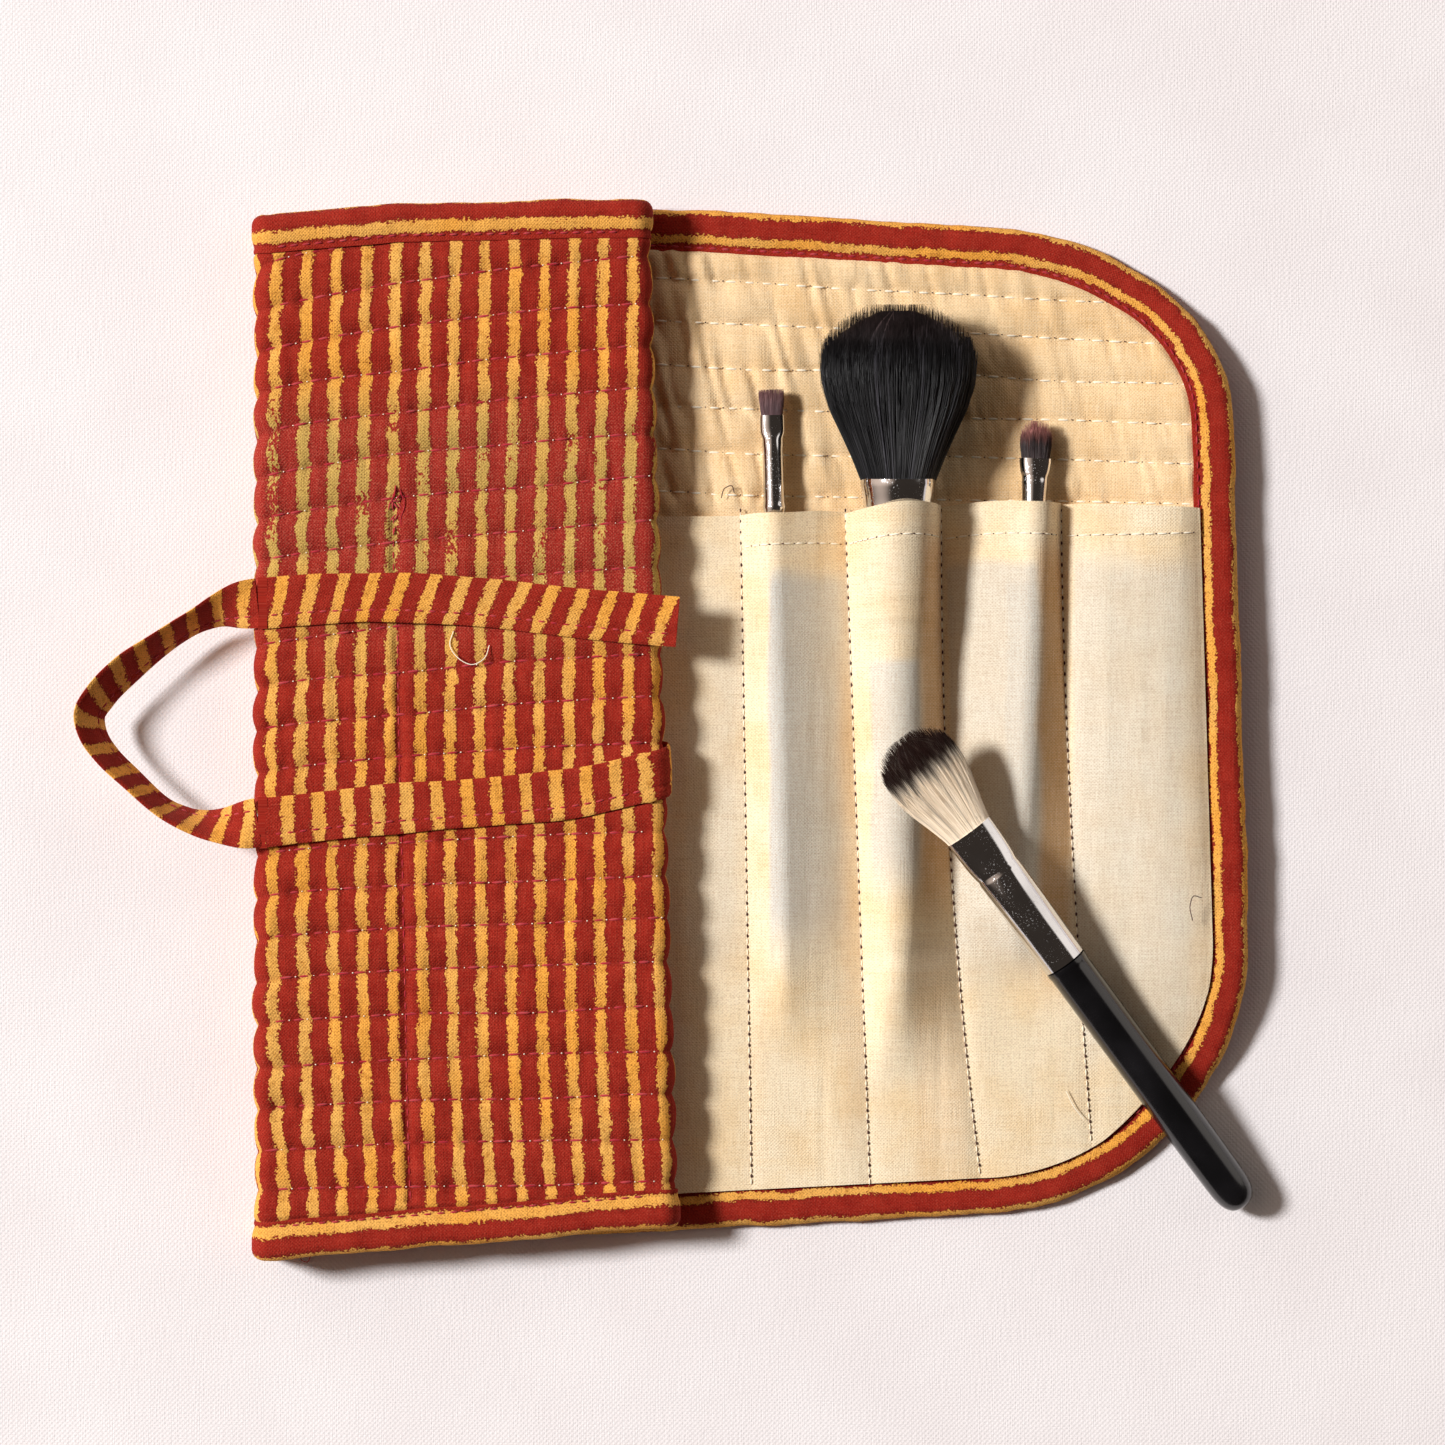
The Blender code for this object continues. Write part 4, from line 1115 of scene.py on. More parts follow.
def make_base_binding():
    """The binding round the open panel, pressed lower at the top, where the brushes draw out."""
    def place(inset, offset, along=OUTLINE_LENGTH):
        columns = [np.interp(along, OUTLINE_LENGTH, values) for values in (*OUTLINE.T, *INWARD.T)]
        x, y = columns[0] + inset * columns[2], columns[1] + inset * columns[3]
        sink = BINDING_SINK * (1 + 1.4 * smooth_step(y, 88 * MM, 100 * MM))
        return np.stack((x, y, SHEET - sink - offset), -1)

    outer, inner, uv = binding_grids(place, OUTLINE_LENGTH, 60, PANEL_BINDING)
    # A mustard stripe lies just in from the inner edge and the next one on the outer edge.
    from_inner = uv[-1:, :, 0] - uv[..., 0]
    uv[..., 0] = ((from_inner - PANEL_STRIPES[0]) / PANEL_STRIPES[1] + 0.5) * STRIPE
    zero = np.zeros(outer.shape[:2])
    looks = (LOOKS["panel_binding"], LOOKS["panel_binding"])
    piece = slab("base_binding_strip", outer, inner, looks, uv, attributes={"fade": zero})
    lay_on_table(piece)
    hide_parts("base_binding")
    row = stitch_line(place, OUTLINE_LENGTH, -1, inset=PANEL_BINDING - 1.1 * MM)
    thread = stitches("base_binding_stitches", *row, 1.9 * MM, 0.22 * MM, LOOKS["red_thread"])
    lay_on_table(thread)


END_BINDING_START = START["end_flap"] + 0.9 * MM


def end_flap_outline():
    """Round the end flap: distance across the folds, height, and inward direction in both."""
    s = np.linspace(END_BINDING_START, START["end_flap"] + END_LENGTH + MM, 60)[:-1]
    lower = np.stack((s, lower_edge(s)), -1)
    upper = np.stack((s, upper_edge(s)), -1)[::-1]
    end = START["end_flap"] + END_LENGTH + MM
    middle = np.stack((np.full(30, end), np.linspace(lower[-1, 1], upper[0, 1], 32)[1:-1]), -1)
    points = np.concatenate((lower, middle, upper))
    at = length_along(points)
    fine = np.linspace(0, at[-1], 330)
    line = np.stack([np.interp(fine, at, points[:, k]) for k in (0, 1)], -1)
    along = unit(np.gradient(line, axis=0))
    return line, np.stack((-along[:, 1], along[:, 0]), -1), fine


def make_end_binding():
    """The binding round the end flap."""
    line, inward, length = end_flap_outline()
    inward[0], inward[-1] = (0, 1), (0, -1)

    def place(inset, offset):
        s = np.maximum(line[:, 0] + inset * inward[:, 0], END_BINDING_START)
        return sweep(s, line[:, 1] + inset * inward[:, 1], offset)

    outer, inner, uv = binding_grids(place, length, 70)
    zero = np.zeros(outer.shape[:2])
    looks = (LOOKS["binding"], LOOKS["binding"])
    piece = slab("end_flap_binding_strip", outer, inner, looks, uv, attributes={"fade": zero})
    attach(piece, "end_flap")
    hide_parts("end_flap_binding")


# ---------------------------------------------------------------- stitches of the quilting
def make_quilting_stitches():
    pitch = 4.2 * MM
    draw = np.random.default_rng(5)
    s_marks, y_marks, slopes = [], [], []
    first, last = START["upper_left_bend"] + 0.5 * MM, START["right_upper_bend"] + 3.6 * MM
    for row in range(ROW_COUNT):
        s = np.arange(first + pitch * draw.random(), last, pitch)
        s = s + draw.uniform(-0.25, 0.25, s.size) * MM
        top, gap = row_spread(s)
        y = top - gap * row
        y = y - row_wander(s, y)
        inside = (y < upper_edge(s) - BINDING_WIDTH * 0.9) & (y > lower_edge(s) + BINDING_WIDTH * 0.9)
        s_marks.append(s[inside])
        y_marks.append(y[inside])
        slopes.append(np.gradient(y, s)[inside] if s.size > 1 else 0 * s[inside])
    s, y, slope = (np.concatenate(marks) for marks in (s_marks, y_marks, slopes))
    clear = flatten_under_tie(s, y) < 0.5
    s, y, slope = s[clear], y[clear], slope[clear]
    depth = SHEET + outer_puff(s, y)
    step = 0.5 * MM
    places = sweep(s, y, depth + 0.12 * MM)
    alongs = sweep(s + step, y + step * slope, depth) - sweep(s - step, y - step * slope, depth)
    ups = sweep(s, y, depth + step) - sweep(s, y, depth)
    on_flap = (s > START["flap"]) & (s < START["right_upper_bend"])
    places, alongs, ups = places[on_flap], alongs[on_flap], ups[on_flap]
    red, cream = LOOKS["red_thread"], LOOKS["cream_thread"]
    thread = stitches("flap_quilting_stitches", places, alongs, ups, 3.3 * MM, 0.27 * MM, red)
    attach(thread, "flap")
    gaps = places + unit(alongs) * pitch / 2 + unit(ups) * 0.05 * MM
    knots = stitches("flap_bobbin_dots", gaps, alongs, ups, 0.42 * MM, 0.15 * MM, cream)
    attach(knots, "flap")


def make_end_seam():
    """The seam that holds the pocket cloth's end, seen on the flap, with a tangle at its top."""
    y = np.arange(END_SEAM[2], END_SEAM[3], -2.7 * MM)
    line = END_SEAM[0] + (END_SEAM[1] - END_SEAM[0]) * (END_SEAM[2] - y) / (END_SEAM[2] - END_SEAM[3])
    x = line + 0.4 * MM * noise(0 * y, y, 1.0, 17 * MM, 15)
    s = START["flap"] + x - FOLD_X
    clear = flatten_under_tie(s, y) < 0.4
    s, y = s[clear], y[clear]
    depth = SHEET + outer_puff(s, y)
    places = sweep(s, y, depth + 0.1 * MM)
    alongs = np.tile((0.02, -1.0, 0.0), (len(y), 1))
    ups = upward(len(y))
    draw = np.random.default_rng(8)
    tangle = 16
    knot = np.array((END_SEAM[0] + 0.8 * MM, END_SEAM[2] - 2 * MM, places[0, 2] + 0.3 * MM))
    turns = draw.uniform(0, math.pi, tangle)
    spots = knot + draw.normal(0, 1.0, (tangle, 3)) * (0.8 * MM, 2.4 * MM, 0.15 * MM)
    ways = np.stack((0.6 * np.cos(turns), np.sin(turns), 0 * turns), -1)
    places, alongs = np.concatenate((places, spots)), np.concatenate((alongs, ways))
    ups = np.concatenate((ups, upward(tangle)))
    thread = stitches("end_seam_stitches", places, alongs, ups, 2.1 * MM, 0.2 * MM, LOOKS["red_thread"])
    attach(thread, "flap")


# Loose thread ends: the body each rides on, its colour and its points.
LOOSE_THREADS = (
    (
        "flap",
        "cream_thread",
        ((-67.4, 20.2, 15.6), (-68.2, 17.2, 15.9), (-66.2, 14.0, 16.2), (-63.0, 12.6, 16.3))
        + ((-60.2, 14.2, 16.2), (-59.2, 17.0, 15.9)),
    ),
    (
        "flap",
        "red_thread",
        ((-79.6, 52.6, 15.4), (-78.6, 48.6, 15.8), (-79.4, 45.8, 15.7), (-78.9, 43.0, 15.3)),
    ),
    (
        "base",
        "dark_thread",
        ((103.2, -40.6, 8.6), (101.4, -40.2, 9.1), (100.6, -42.2, 8.9), (101.2, -45.8, 7.6)),
    ),
    ("base", "cream_thread", ((72.6, -85.0, 5.2), (74.4, -88.6, 5.4), (76.6, -91.4, 5.2))),
    (
        "base",
        "red_thread",
        ((-103.2, -122.6, 2.0), (-102.6, -124.0, 1.4), (-101.4, -124.4, 1.0), (-100.6, -123.0, 2.0)),
    ),
    (
        "base",
        "dark_thread",
        ((-6.4, 50.8, 5.0), (-5.6, 53.0, 5.4), (-4.0, 53.6, 5.6), (-3.4, 52.0, 5.0)),
    ),
)


def make_loose_threads():
    for number, (body, colour, points) in enumerate(LOOSE_THREADS):
        line = curve_through(np.array(points) * MM, 40)
        forward = unit(np.gradient(line, axis=0))
        side = unit(np.cross(forward, (0.0, 0.0, 1.0)))
        over = np.cross(side, forward)
        turn = np.linspace(0, 2 * math.pi, 7)[:-1]
        radius = 0.11 * MM
        rings = [
            p + radius * (np.outer(np.cos(turn), a) + np.outer(np.sin(turn), b))
            for p, a, b in zip(line, side, over)
        ]
        piece = lathe("loose_thread_%d" % number, rings, LOOKS[colour])
        if body == "base":
            lay_on_table(piece)
        else:
            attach(piece, body)


def make_lining_stitches():
    pitch = 4.0 * MM
    x_marks, y_marks = [], []
    for row in range(-1, 6):
        x = np.arange(-24 * MM, BOTTOM_CORNER[0] + BOTTOM_CORNER[2], pitch)
        top, gap, _ = lining_rows(x)
        y = top - gap * row
        y = y - lining_wander(x, y)
        x_marks.append(x)
        y_marks.append(y)
    x, y = np.concatenate(x_marks), np.concatenate(y_marks)
    inside = (edge_distance(x, y) > BINDING_WIDTH) & (y > POCKET_TOP - 2 * MM)
    x, y = x[inside], y[inside]
    z = SHEET + lining_puff(x, y)
    places = np.stack((x, y, z + 0.22 * MM), -1)
    alongs = np.tile((1.0, -0.04, 0.0), (len(x), 1))
    ups = upward(len(x))
    thread = stitches("lining_stitches", places, alongs, ups, 2.9 * MM, 0.24 * MM, LOOKS["cream_thread"])
    gaps = places + np.array((pitch / 2, 0, 0))
    dots = stitches("lining_bobbin_dots", gaps, alongs, ups, 0.4 * MM, 0.15 * MM, LOOKS["dark_thread"])
    for piece in (thread, dots):
        lay_on_table(piece)


# ---------------------------------------------------------------- brushes
class Brush:
    """A brush's axis, found from its CAD nodes, and its shape. The bristles, ferrule and handle
    are stations in millimetres: distance below the tip, half width and half thickness."""

    def __init__(self, name, bristles, ferrule, handle, tip_colour, root_colour, glint, fade, strands):
        self.name = name
        self.bristles = np.array(bristles) * MM
        self.ferrule = np.array(ferrule) * MM
        self.handle = np.array(handle) * MM
        self.tip_colour, self.root_colour, self.glint = tip_colour, root_colour, glint
        self.fade, self.strands = fade, strands
        points = {
            part: np.array([v.co[:] for v in frame["nodes"][name + "_" + part].data.vertices])
            for part in ("bristles", "ferrule", "handle")
        }
        middles = {part: (p.min(0) + p.max(0)) / 2 for part, p in points.items()}
        rough = unit(middles["ferrule"] - middles["handle"])
        ends = []
        for part, sign in (("bristles", 1), ("handle", -1)):
            reach = sign * points[part] @ rough
            ends.append(points[part][reach > reach.max() - 0.4 * MM].mean(0))
        self.axis = unit(ends[0] - ends[1])
        self.tip = ends[0] + self.axis * ((points["bristles"] - ends[0]) @ self.axis).max()
        self.side = unit(np.cross(self.axis, (0.0, 0.0, 1.0)))
        self.up = np.cross(self.side, self.axis)
        self.length = ((self.tip - points["handle"]) @ self.axis).max()

    def at(self, s, across, up):
        """World points from distance below the tip and offsets to the side and up."""
        sideways = np.multiply.outer(across, self.side)
        upwards = np.multiply.outer(up, self.up)
        return self.tip + np.multiply.outer(-s, self.axis) + sideways + upwards

    def rings(self, stations, sides=56, sink=0.0):
        turn = np.linspace(0, 2 * math.pi, sides, endpoint=False)
        return [
            self.at(np.full(sides, s), (wide - sink) * np.cos(turn), (thick - sink) * np.sin(turn))
            for s, wide, thick in stations
        ]

    def centre_x(self, y):
        """The axis's x and z at a height of the sheet."""
        share = (y - self.tip[1]) / self.axis[1]
        return self.tip[0] + share * self.axis[0], self.tip[2] + share * self.axis[2]


def refine(stations, step=0.8 * MM):
    """More stations on a smooth curve through these, keeping sharp steps sharp."""
    stations = np.array(stations)
    out = [stations[0]]
    for k in range(len(stations) - 1):
        a, b = stations[k], stations[k + 1]
        span = b[0] - a[0]
        count = max(int(span / step), 1)
        before = stations[max(k - 1, 0)]
        after = stations[min(k + 2, len(stations) - 1)]
        slope_a = (b - before) / max(b[0] - before[0], 1e-6) * span
        slope_b = (after - a) / max(after[0] - a[0], 1e-6) * span
        for i in range(1, count + 1):
            t = i / count
            p = (2 * t**3 - 3 * t**2 + 1) * a + (t**3 - 2 * t**2 + t) * slope_a
            p = p + (3 * t**2 - 2 * t**3) * b + (t**3 - t**2) * slope_b
            p[0] = a[0] + span * t
            out.append(p)
    return np.array(out)


def both(pairs):
    """Round stations, from distances below the tip and radii."""
    return [(s, r, r) for s, r in pairs]


BRUSHES = {
    brush.name: brush
    for brush in (
        Brush(
            "flat_brush",
            [(0, 2.5, 0.45), (0.9, 2.85, 0.9), (3.2, 2.75, 1.1), (5.4, 2.5, 1.2), (8.5, 2.0, 0.8)],
            [(6, 2.75, 1.5), (7.5, 2.8, 1.5), (10, 2.75, 1.55), (11.3, 2.4, 1.85), (12.4, 2.42, 2.1)]
            + [(14, 2.35, 2.3), (26, 2.45, 2.45), (27, 2.62, 2.62), (28, 2.45, 2.45)]
            + [(30.5, 2.5, 2.5), (31.5, 2.68, 2.68), (32.5, 2.5, 2.5), (40, 2.55, 2.55)],
            both([(30, 1.9), (40.1, 1.9), (40.4, 2.6), (44, 3.1), (60, 3.4), (95, 3.2)])
            + both([(122, 2.6), (127.5, 1.6), (128.6, 0.5)]),
            srgb(150, 112, 112),
            srgb(84, 52, 56),
            (2.2, 3.0),
            (0.5, 5.0),
            900,
        ),
        Brush(
            "powder_brush",
            [(0, 5, 2.5), (2.8, 11.5, 5.5), (7.4, 16.1, 7.6), (13.1, 17.8, 8.5), (21, 16.8, 8.6)]
            + [(30, 12.9, 8.3), (39.2, 8.9, 8.2), (46, 6.9, 6.9)],
            both([(39.8, 8.6), (41, 8.65), (42, 8.5), (46, 7.9), (60, 7.1), (66, 6.75), (67, 7.0)])
            + both([(68, 6.65), (71, 6.5), (72, 6.75), (73, 6.35), (79.8, 5.75)]),
            both([(66, 4.85), (79.9, 4.85), (80.2, 5.6), (84, 5.6), (110, 5.3), (145, 4.6)])
            + both([(152, 3.4), (154.5, 1.0)]),
            srgb(34, 26, 26),
            srgb(22, 21, 24),
            (11.0, 14.0),
            (2.0, 14.0),
            6500,
        ),
        Brush(
            "dome_brush",
            [(0, 1.4, 0.7), (1.2, 2.6, 1.3), (4, 3.6, 1.9), (8.1, 3.3, 1.8), (12, 2.55, 1.5)],
            [(8.7, 3.65, 2.2), (10, 3.6, 2.2), (12, 3.3, 2.3), (12.9, 3.0, 2.3), (14, 3.0, 2.5)]
            + [(18, 2.85, 2.7), (24, 2.8, 2.8), (25, 2.98, 2.98), (26, 2.8, 2.8), (28, 2.8, 2.8)]
            + [(29, 2.98, 2.98), (30, 2.78, 2.78), (35.2, 2.75, 2.75)],
            both([(27, 2.05), (35.3, 2.05), (35.6, 2.8), (39, 3.4), (52, 3.75), (80, 3.5), (98, 2.9)])
            + both([(104, 1.9), (105.3, 0.6)]),
            srgb(186, 128, 122),
            srgb(42, 22, 24),
            (1.5, 2.0),
            (2.0, 6.0),
            1300,
        ),
        Brush(
            "foundation_brush",
            [(0, 3, 1.2), (2, 6.5, 2.4), (5, 8.6, 3.2), (9, 9.2, 3.7), (14, 8.8, 3.7)]
            + [(20, 7.2, 3.2), (25.9, 5.7, 2.6), (33, 4.8, 2.4)],
            [(26.5, 5.75, 2.9), (28, 5.75, 2.95), (34, 5.6, 3.3), (36.9, 5.35, 3.6), (37.7, 5.2, 3.6)]
            + [(38.5, 5.35, 4.0), (44, 5.35, 4.7), (50, 5.3, 5.0), (54, 5.25, 5.2), (63.8, 5.15, 5.15)],
            both([(52, 4.2), (63.9, 4.2), (64.2, 5.1), (66, 5.0), (100, 4.95), (126, 4.8)])
            + both([(131, 4.3), (133.6, 2.8), (134.4, 0.9)]),
            srgb(40, 22, 18),
            srgb(255, 238, 214),
            (1.0, 1.05),
            (8.0, 13.0),
            4200,
        ),
    )
}


HAIR_ROUNDING = 1e-7


def make_bristles(brush):
    """A core of packed hair with single hairs over it, in one mesh."""
    draw = np.random.default_rng(len(brush.name))
    outline = refine(brush.bristles, 0.5 * MM)
    colours = brush.tip_colour, brush.root_colour
    look = hair_material(brush.name + "_hair", *colours, brush.glint, *brush.fade)
    s_of, wide_of, thick_of = outline.T
    flare_wide = np.maximum.accumulate(wide_of[::-1])[::-1]
    flare_thick = np.maximum.accumulate(thick_of[::-1])[::-1]
    count = brush.strands
    ring = np.sqrt(draw.uniform(0.0, 1.0, count))
    ring = np.where(draw.random(count) < 0.55, 1 - 0.12 * draw.random(count), ring)
    turn = draw.uniform(0, 2 * math.pi, count)
    root = brush.bristles[-1, 0]
    # A hair ends where its own line of flare leaves the head's outline.
    reach = np.empty(count)
    for k in range(count):
        open_there = ring[k] * flare_wide <= wide_of + HAIR_ROUNDING
        reach[k] = s_of[open_there][0] if open_there.any() else root
    reach = np.maximum(reach + draw.normal(0, 0.5, count) * MM, 0.1 * MM)
    steps = 7
    share = np.linspace(0, 1, steps)[None]
    s = root + (reach[:, None] - root) * share
    fray = draw.normal(0, 0.02, (count, 1)) * share**2
    wide = np.interp(s, s_of, flare_wide) * (ring[:, None] + fray)
    thick = np.interp(s, s_of, flare_thick) * (ring[:, None] + fray)
    turn = turn[:, None] + draw.normal(0, 0.03, (count, 1)) * share
    across, up = wide * np.cos(turn), thick * np.sin(turn)
    centre = brush.at(s, across, up)
    hair = 0.075 * MM if brush.strands < 3000 else 0.1 * MM
    taper = hair * (1 - 0.75 * share**2)[..., None]
    sides = []
    for corner in range(3):
        angle = 2 * math.pi * corner / 3
        sides.append(centre + taper * (brush.side * math.cos(angle) + brush.up * math.sin(angle)))
    verts = np.stack(sides, 2)
    index = np.arange(steps * 3).reshape(steps, 3)
    quads = ring_quads(index)
    starts = (np.arange(count) * steps * 3)[:, None, None]
    hair_faces = (quads[None] + starts).reshape(-1, 4)
    caps = np.stack((index[0][::-1], index[-1]))
    hair_caps = (caps[None] + starts).reshape(-1, 3)
    core_sides = 96
    buried = smooth_step(outline[:, 0], 0, 12 * MM)[:, None]
    core_line = outline.copy()
    core_line[:, 1:] *= 0.80 + 0.13 * buried
    core_line[:, :1] += 1.6 * MM * (1 - buried)
    core = np.array(brush.rings(core_line, core_sides))
    round_core = np.arange(core_sides) / core_sides * TABLE_SIZE / 2
    groove = noise(*np.meshgrid(round_core, s_of / MM), 1.0, 9.0, 91)
    middle = brush.at(outline[:, 0], 0 * s_of, 0 * s_of)[:, None]
    core = core + unit(core - middle) * (groove[..., None] * 0.14 * MM)
    base = len(verts.reshape(-1, 3))
    core_index = np.arange(core[..., 0].size).reshape(core.shape[:2]) + base
    core_faces = ring_quads(core_index)
    core_caps = np.stack((core_index[0][::-1], core_index[-1]))
    all_verts = np.concatenate((verts.reshape(-1, 3), core.reshape(-1, 3)))
    from_tip = np.concatenate((np.repeat(s.ravel(), 3), np.repeat(outline[:, 0], core_sides))) / MM
    clump = 0.5 + 0.6 * noise(turn[:, 0] * 14, ring * 5, 1.0, 1.0, 95)
    shade = np.clip(0.45 * draw.random(count) + 0.6 * clump, 0, 1)
    core_shade = draw.random(core_sides)[None].repeat(len(outline), 0)
    strand = np.concatenate((np.repeat(shade, steps * 3), core_shade.ravel()))
    piece = new_object(
        brush.name + "_hairs",
        all_verts,
        [hair_faces, hair_caps, core_faces, core_caps],
        look,
        attributes={"from_tip": from_tip, "strand": strand},
    )
    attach(piece, brush.name)
    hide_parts(brush.name + "_bristles")


def make_brush(brush):
    """A brush's bristles, its hollow metal sleeve and its handle."""
    make_bristles(brush)
    wall = 0.3 * MM
    stations = refine(brush.ferrule, 0.4 * MM)
    rings = brush.rings(stations) + brush.rings(stations[::-1], sink=wall)
    sleeve = lathe(brush.name + "_sleeve", rings, LOOKS["chrome"], closed_tube=True)
    body = refine(brush.handle, 0.5 * MM)
    handle = lathe(brush.name + "_grip", brush.rings(body), LOOKS["lacquer"])
    for piece, part, slot_name in ((sleeve, "ferrule", "chrome"), (handle, "handle", "lacquer")):
        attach(piece, brush.name)
        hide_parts(brush.name + "_" + part)


# ---------------------------------------------------------------- the pocket cloth
def seam_x(seam, y):
    """The x of a divider seam at a height of the sheet."""
    top, drift, power = seam
    down = np.clip((POCKET_TOP - y) / (POCKET_TOP - POCKET_BOTTOM), 0, 1)
    return top + drift * down**power


def pocket_side(number, y):
    """The x of a seam, counted from the left, with the fold before the first and the binding
    after the last."""
    if number == 0:
        return np.full(np.shape(y), FOLD_X + 1.2 * MM)
    if number <= len(SEAMS):
        return seam_x(SEAMS[number - 1], y)
    straight = np.clip((y - BOTTOM_CORNER[1]) / (TOP_CORNER[1] - BOTTOM_CORNER[1]), 0, 1)
    right = BOTTOM_CORNER[0] + BOTTOM_CORNER[2]
    x = right + (TOP_CORNER[0] + TOP_CORNER[2] - right) * straight - POCKET_MARGIN
    down = np.clip((BOTTOM_CORNER[1] - y) / BOTTOM_CORNER[3], 0, 0.999)
    curved = BOTTOM_CORNER[0] + BOTTOM_CORNER[2] * np.sqrt(1 - down**2) - POCKET_MARGIN
    return np.where(y > BOTTOM_CORNER[1], x, curved)


def pocket_floor_y(x):
    """The height of the binding's inner edge below a point of the pocket cloth."""
    radius = BOTTOM_CORNER[2] - POCKET_MARGIN
    across = np.clip(x - BOTTOM_CORNER[0], 0, radius * 0.985)
    curved = BOTTOM_CORNER[1] - np.sqrt(radius**2 - across**2)
    right_y = BOTTOM_CORNER[1] - BOTTOM_CORNER[3]
    bends = (FOLD_X, BOTTOM_BEND[0], BOTTOM_CORNER[0])
    straight = np.interp(x, bends, (LEFT_BOTTOM, BOTTOM_BEND[1], right_y))
    return np.where(x > BOTTOM_CORNER[0], curved, straight + POCKET_MARGIN)


def taut(x, left, right, centre_x, centre_z, radius):
    """The height of cloth pulled from seam to seam over a round brush, above the seams."""

    def tangent(across):
        reach = np.hypot(across, centre_z)
        return np.arctan2(centre_z, across) + np.arcsin(np.minimum(radius / reach, 0.99))

    slope_left = tangent(centre_x - left)
    slope_right = tangent(right - centre_x)
    on_left = centre_x - radius * np.sin(slope_left)
    on_right = centre_x + radius * np.sin(slope_right)
    off = np.clip(x - centre_x, -radius, radius)
    over = centre_z + np.sqrt(np.maximum(radius**2 - off**2, 0))
    rising = np.tan(np.minimum(slope_left, 1.5)) * (x - left)
    falling = np.tan(np.minimum(slope_right, 1.5)) * (right - x)
    return np.where(x < on_left, rising, np.where(x > on_right, falling, over))


def widest_below(stations, s):
    """The largest radius that a brush has from a distance below its tip to its end."""
    radii = np.maximum.accumulate(np.maximum(stations[:, 1], stations[:, 2])[::-1])[::-1]
    return np.interp(s, stations[:, 0], radii)


POCKET_BRUSHES = {2: "flat_brush", 3: "powder_brush", 4: "dome_brush"}


# The grey on the pockets' thin cloth: partly the brush handles showing through, partly painted
# shade of the hollow under the cloth. Each entry: the left and right ends of the grey, its top
# and bottom, how grey it is at its left and right, and how soft its right end is.
GHOSTS = {
    1: ((-14.0, -1.0, 30.0, -60.0, 0.16, 0.34, 5.0),),
    2: ((4.6, 24.0, 35.9, -53.8, 0.80, 0.50, 5.0), (4.8, 9.2, 35.9, -50.0, 0.20, 0.20, 1.5)),
    3: ((28.0, 39.6, 14.5, -40.0, 0.66, 0.66, 1.6), (26.0, 44.0, 40.0, 14.0, 0.14, 0.08, 6.0)),
    4: ((45.5, 67.5, 36.5, -60.0, 0.48, 0.60, 2.4), (58.8, 66.0, 31.5, -36.0, 0.26, 0.30, 1.6)),
    5: ((74.0, 104.0, 40.0, -78.0, 0.46, 0.46, 8.0),),
}
# Painted amber shade on the cloth's shaded slopes and folds: left and right ends, top and bottom,
# and how much.
AMBER = {
    2: ((-1.0, 3.6, 40.0, -100.0, 0.06), (20.5, 27.0, 49.0, -100.0, 0.14)),
    3: ((39.2, 46.0, 44.0, -46.0, 0.55), (38.0, 50.0, -46.0, -110.0, 0.18)),
    4: ((66.4, 73.5, 42.0, -62.0, 0.58),),
    5: ((100.0, 106.0, 46.0, -80.0, 0.12), (70.0, 76.0, 49.0, 30.0, 0.14)),
}


def through_cloth(number, x, y):
    """How grey and how amber a pocket's cloth looks at each point."""
    uneven = 0.7 * noise(x, y, 9 * MM, 12 * MM, 260 + number)
    x, y = x / MM + uneven, y / MM + uneven
    ghost, warm = np.zeros(x.shape), np.zeros(x.shape)
    for left, right, top, bottom, first, last, soft in GHOSTS.get(number, ()):
        level = first + (last - first) * smooth_step(x, left, right)
        inside = smooth_step(x, left - 0.7, left + 0.7)
        inside = inside * (1 - smooth_step(x, right - soft, right + soft * 0.4))
        inside = inside * smooth_step(y, bottom - 6, bottom + 12)
        inside = inside * (1 - smooth_step(y, top - 0.4 - 0.9 * soft, top + 0.9))
        ghost = np.maximum(ghost, 0) + level * inside * (1 - ghost)
    for left, right, top, bottom, level in AMBER.get(number, ()):
        inside = smooth_step(x, left - 1.2, left + 1.6)
        inside = inside * (1 - smooth_step(x, right - 1.5, right + 1.5))
        inside = inside * smooth_step(y, bottom - 8, bottom + 14)
        inside = inside * (1 - smooth_step(y, top - 8, top + 4))
        warm = np.maximum(warm, level * inside)
    return ghost, warm


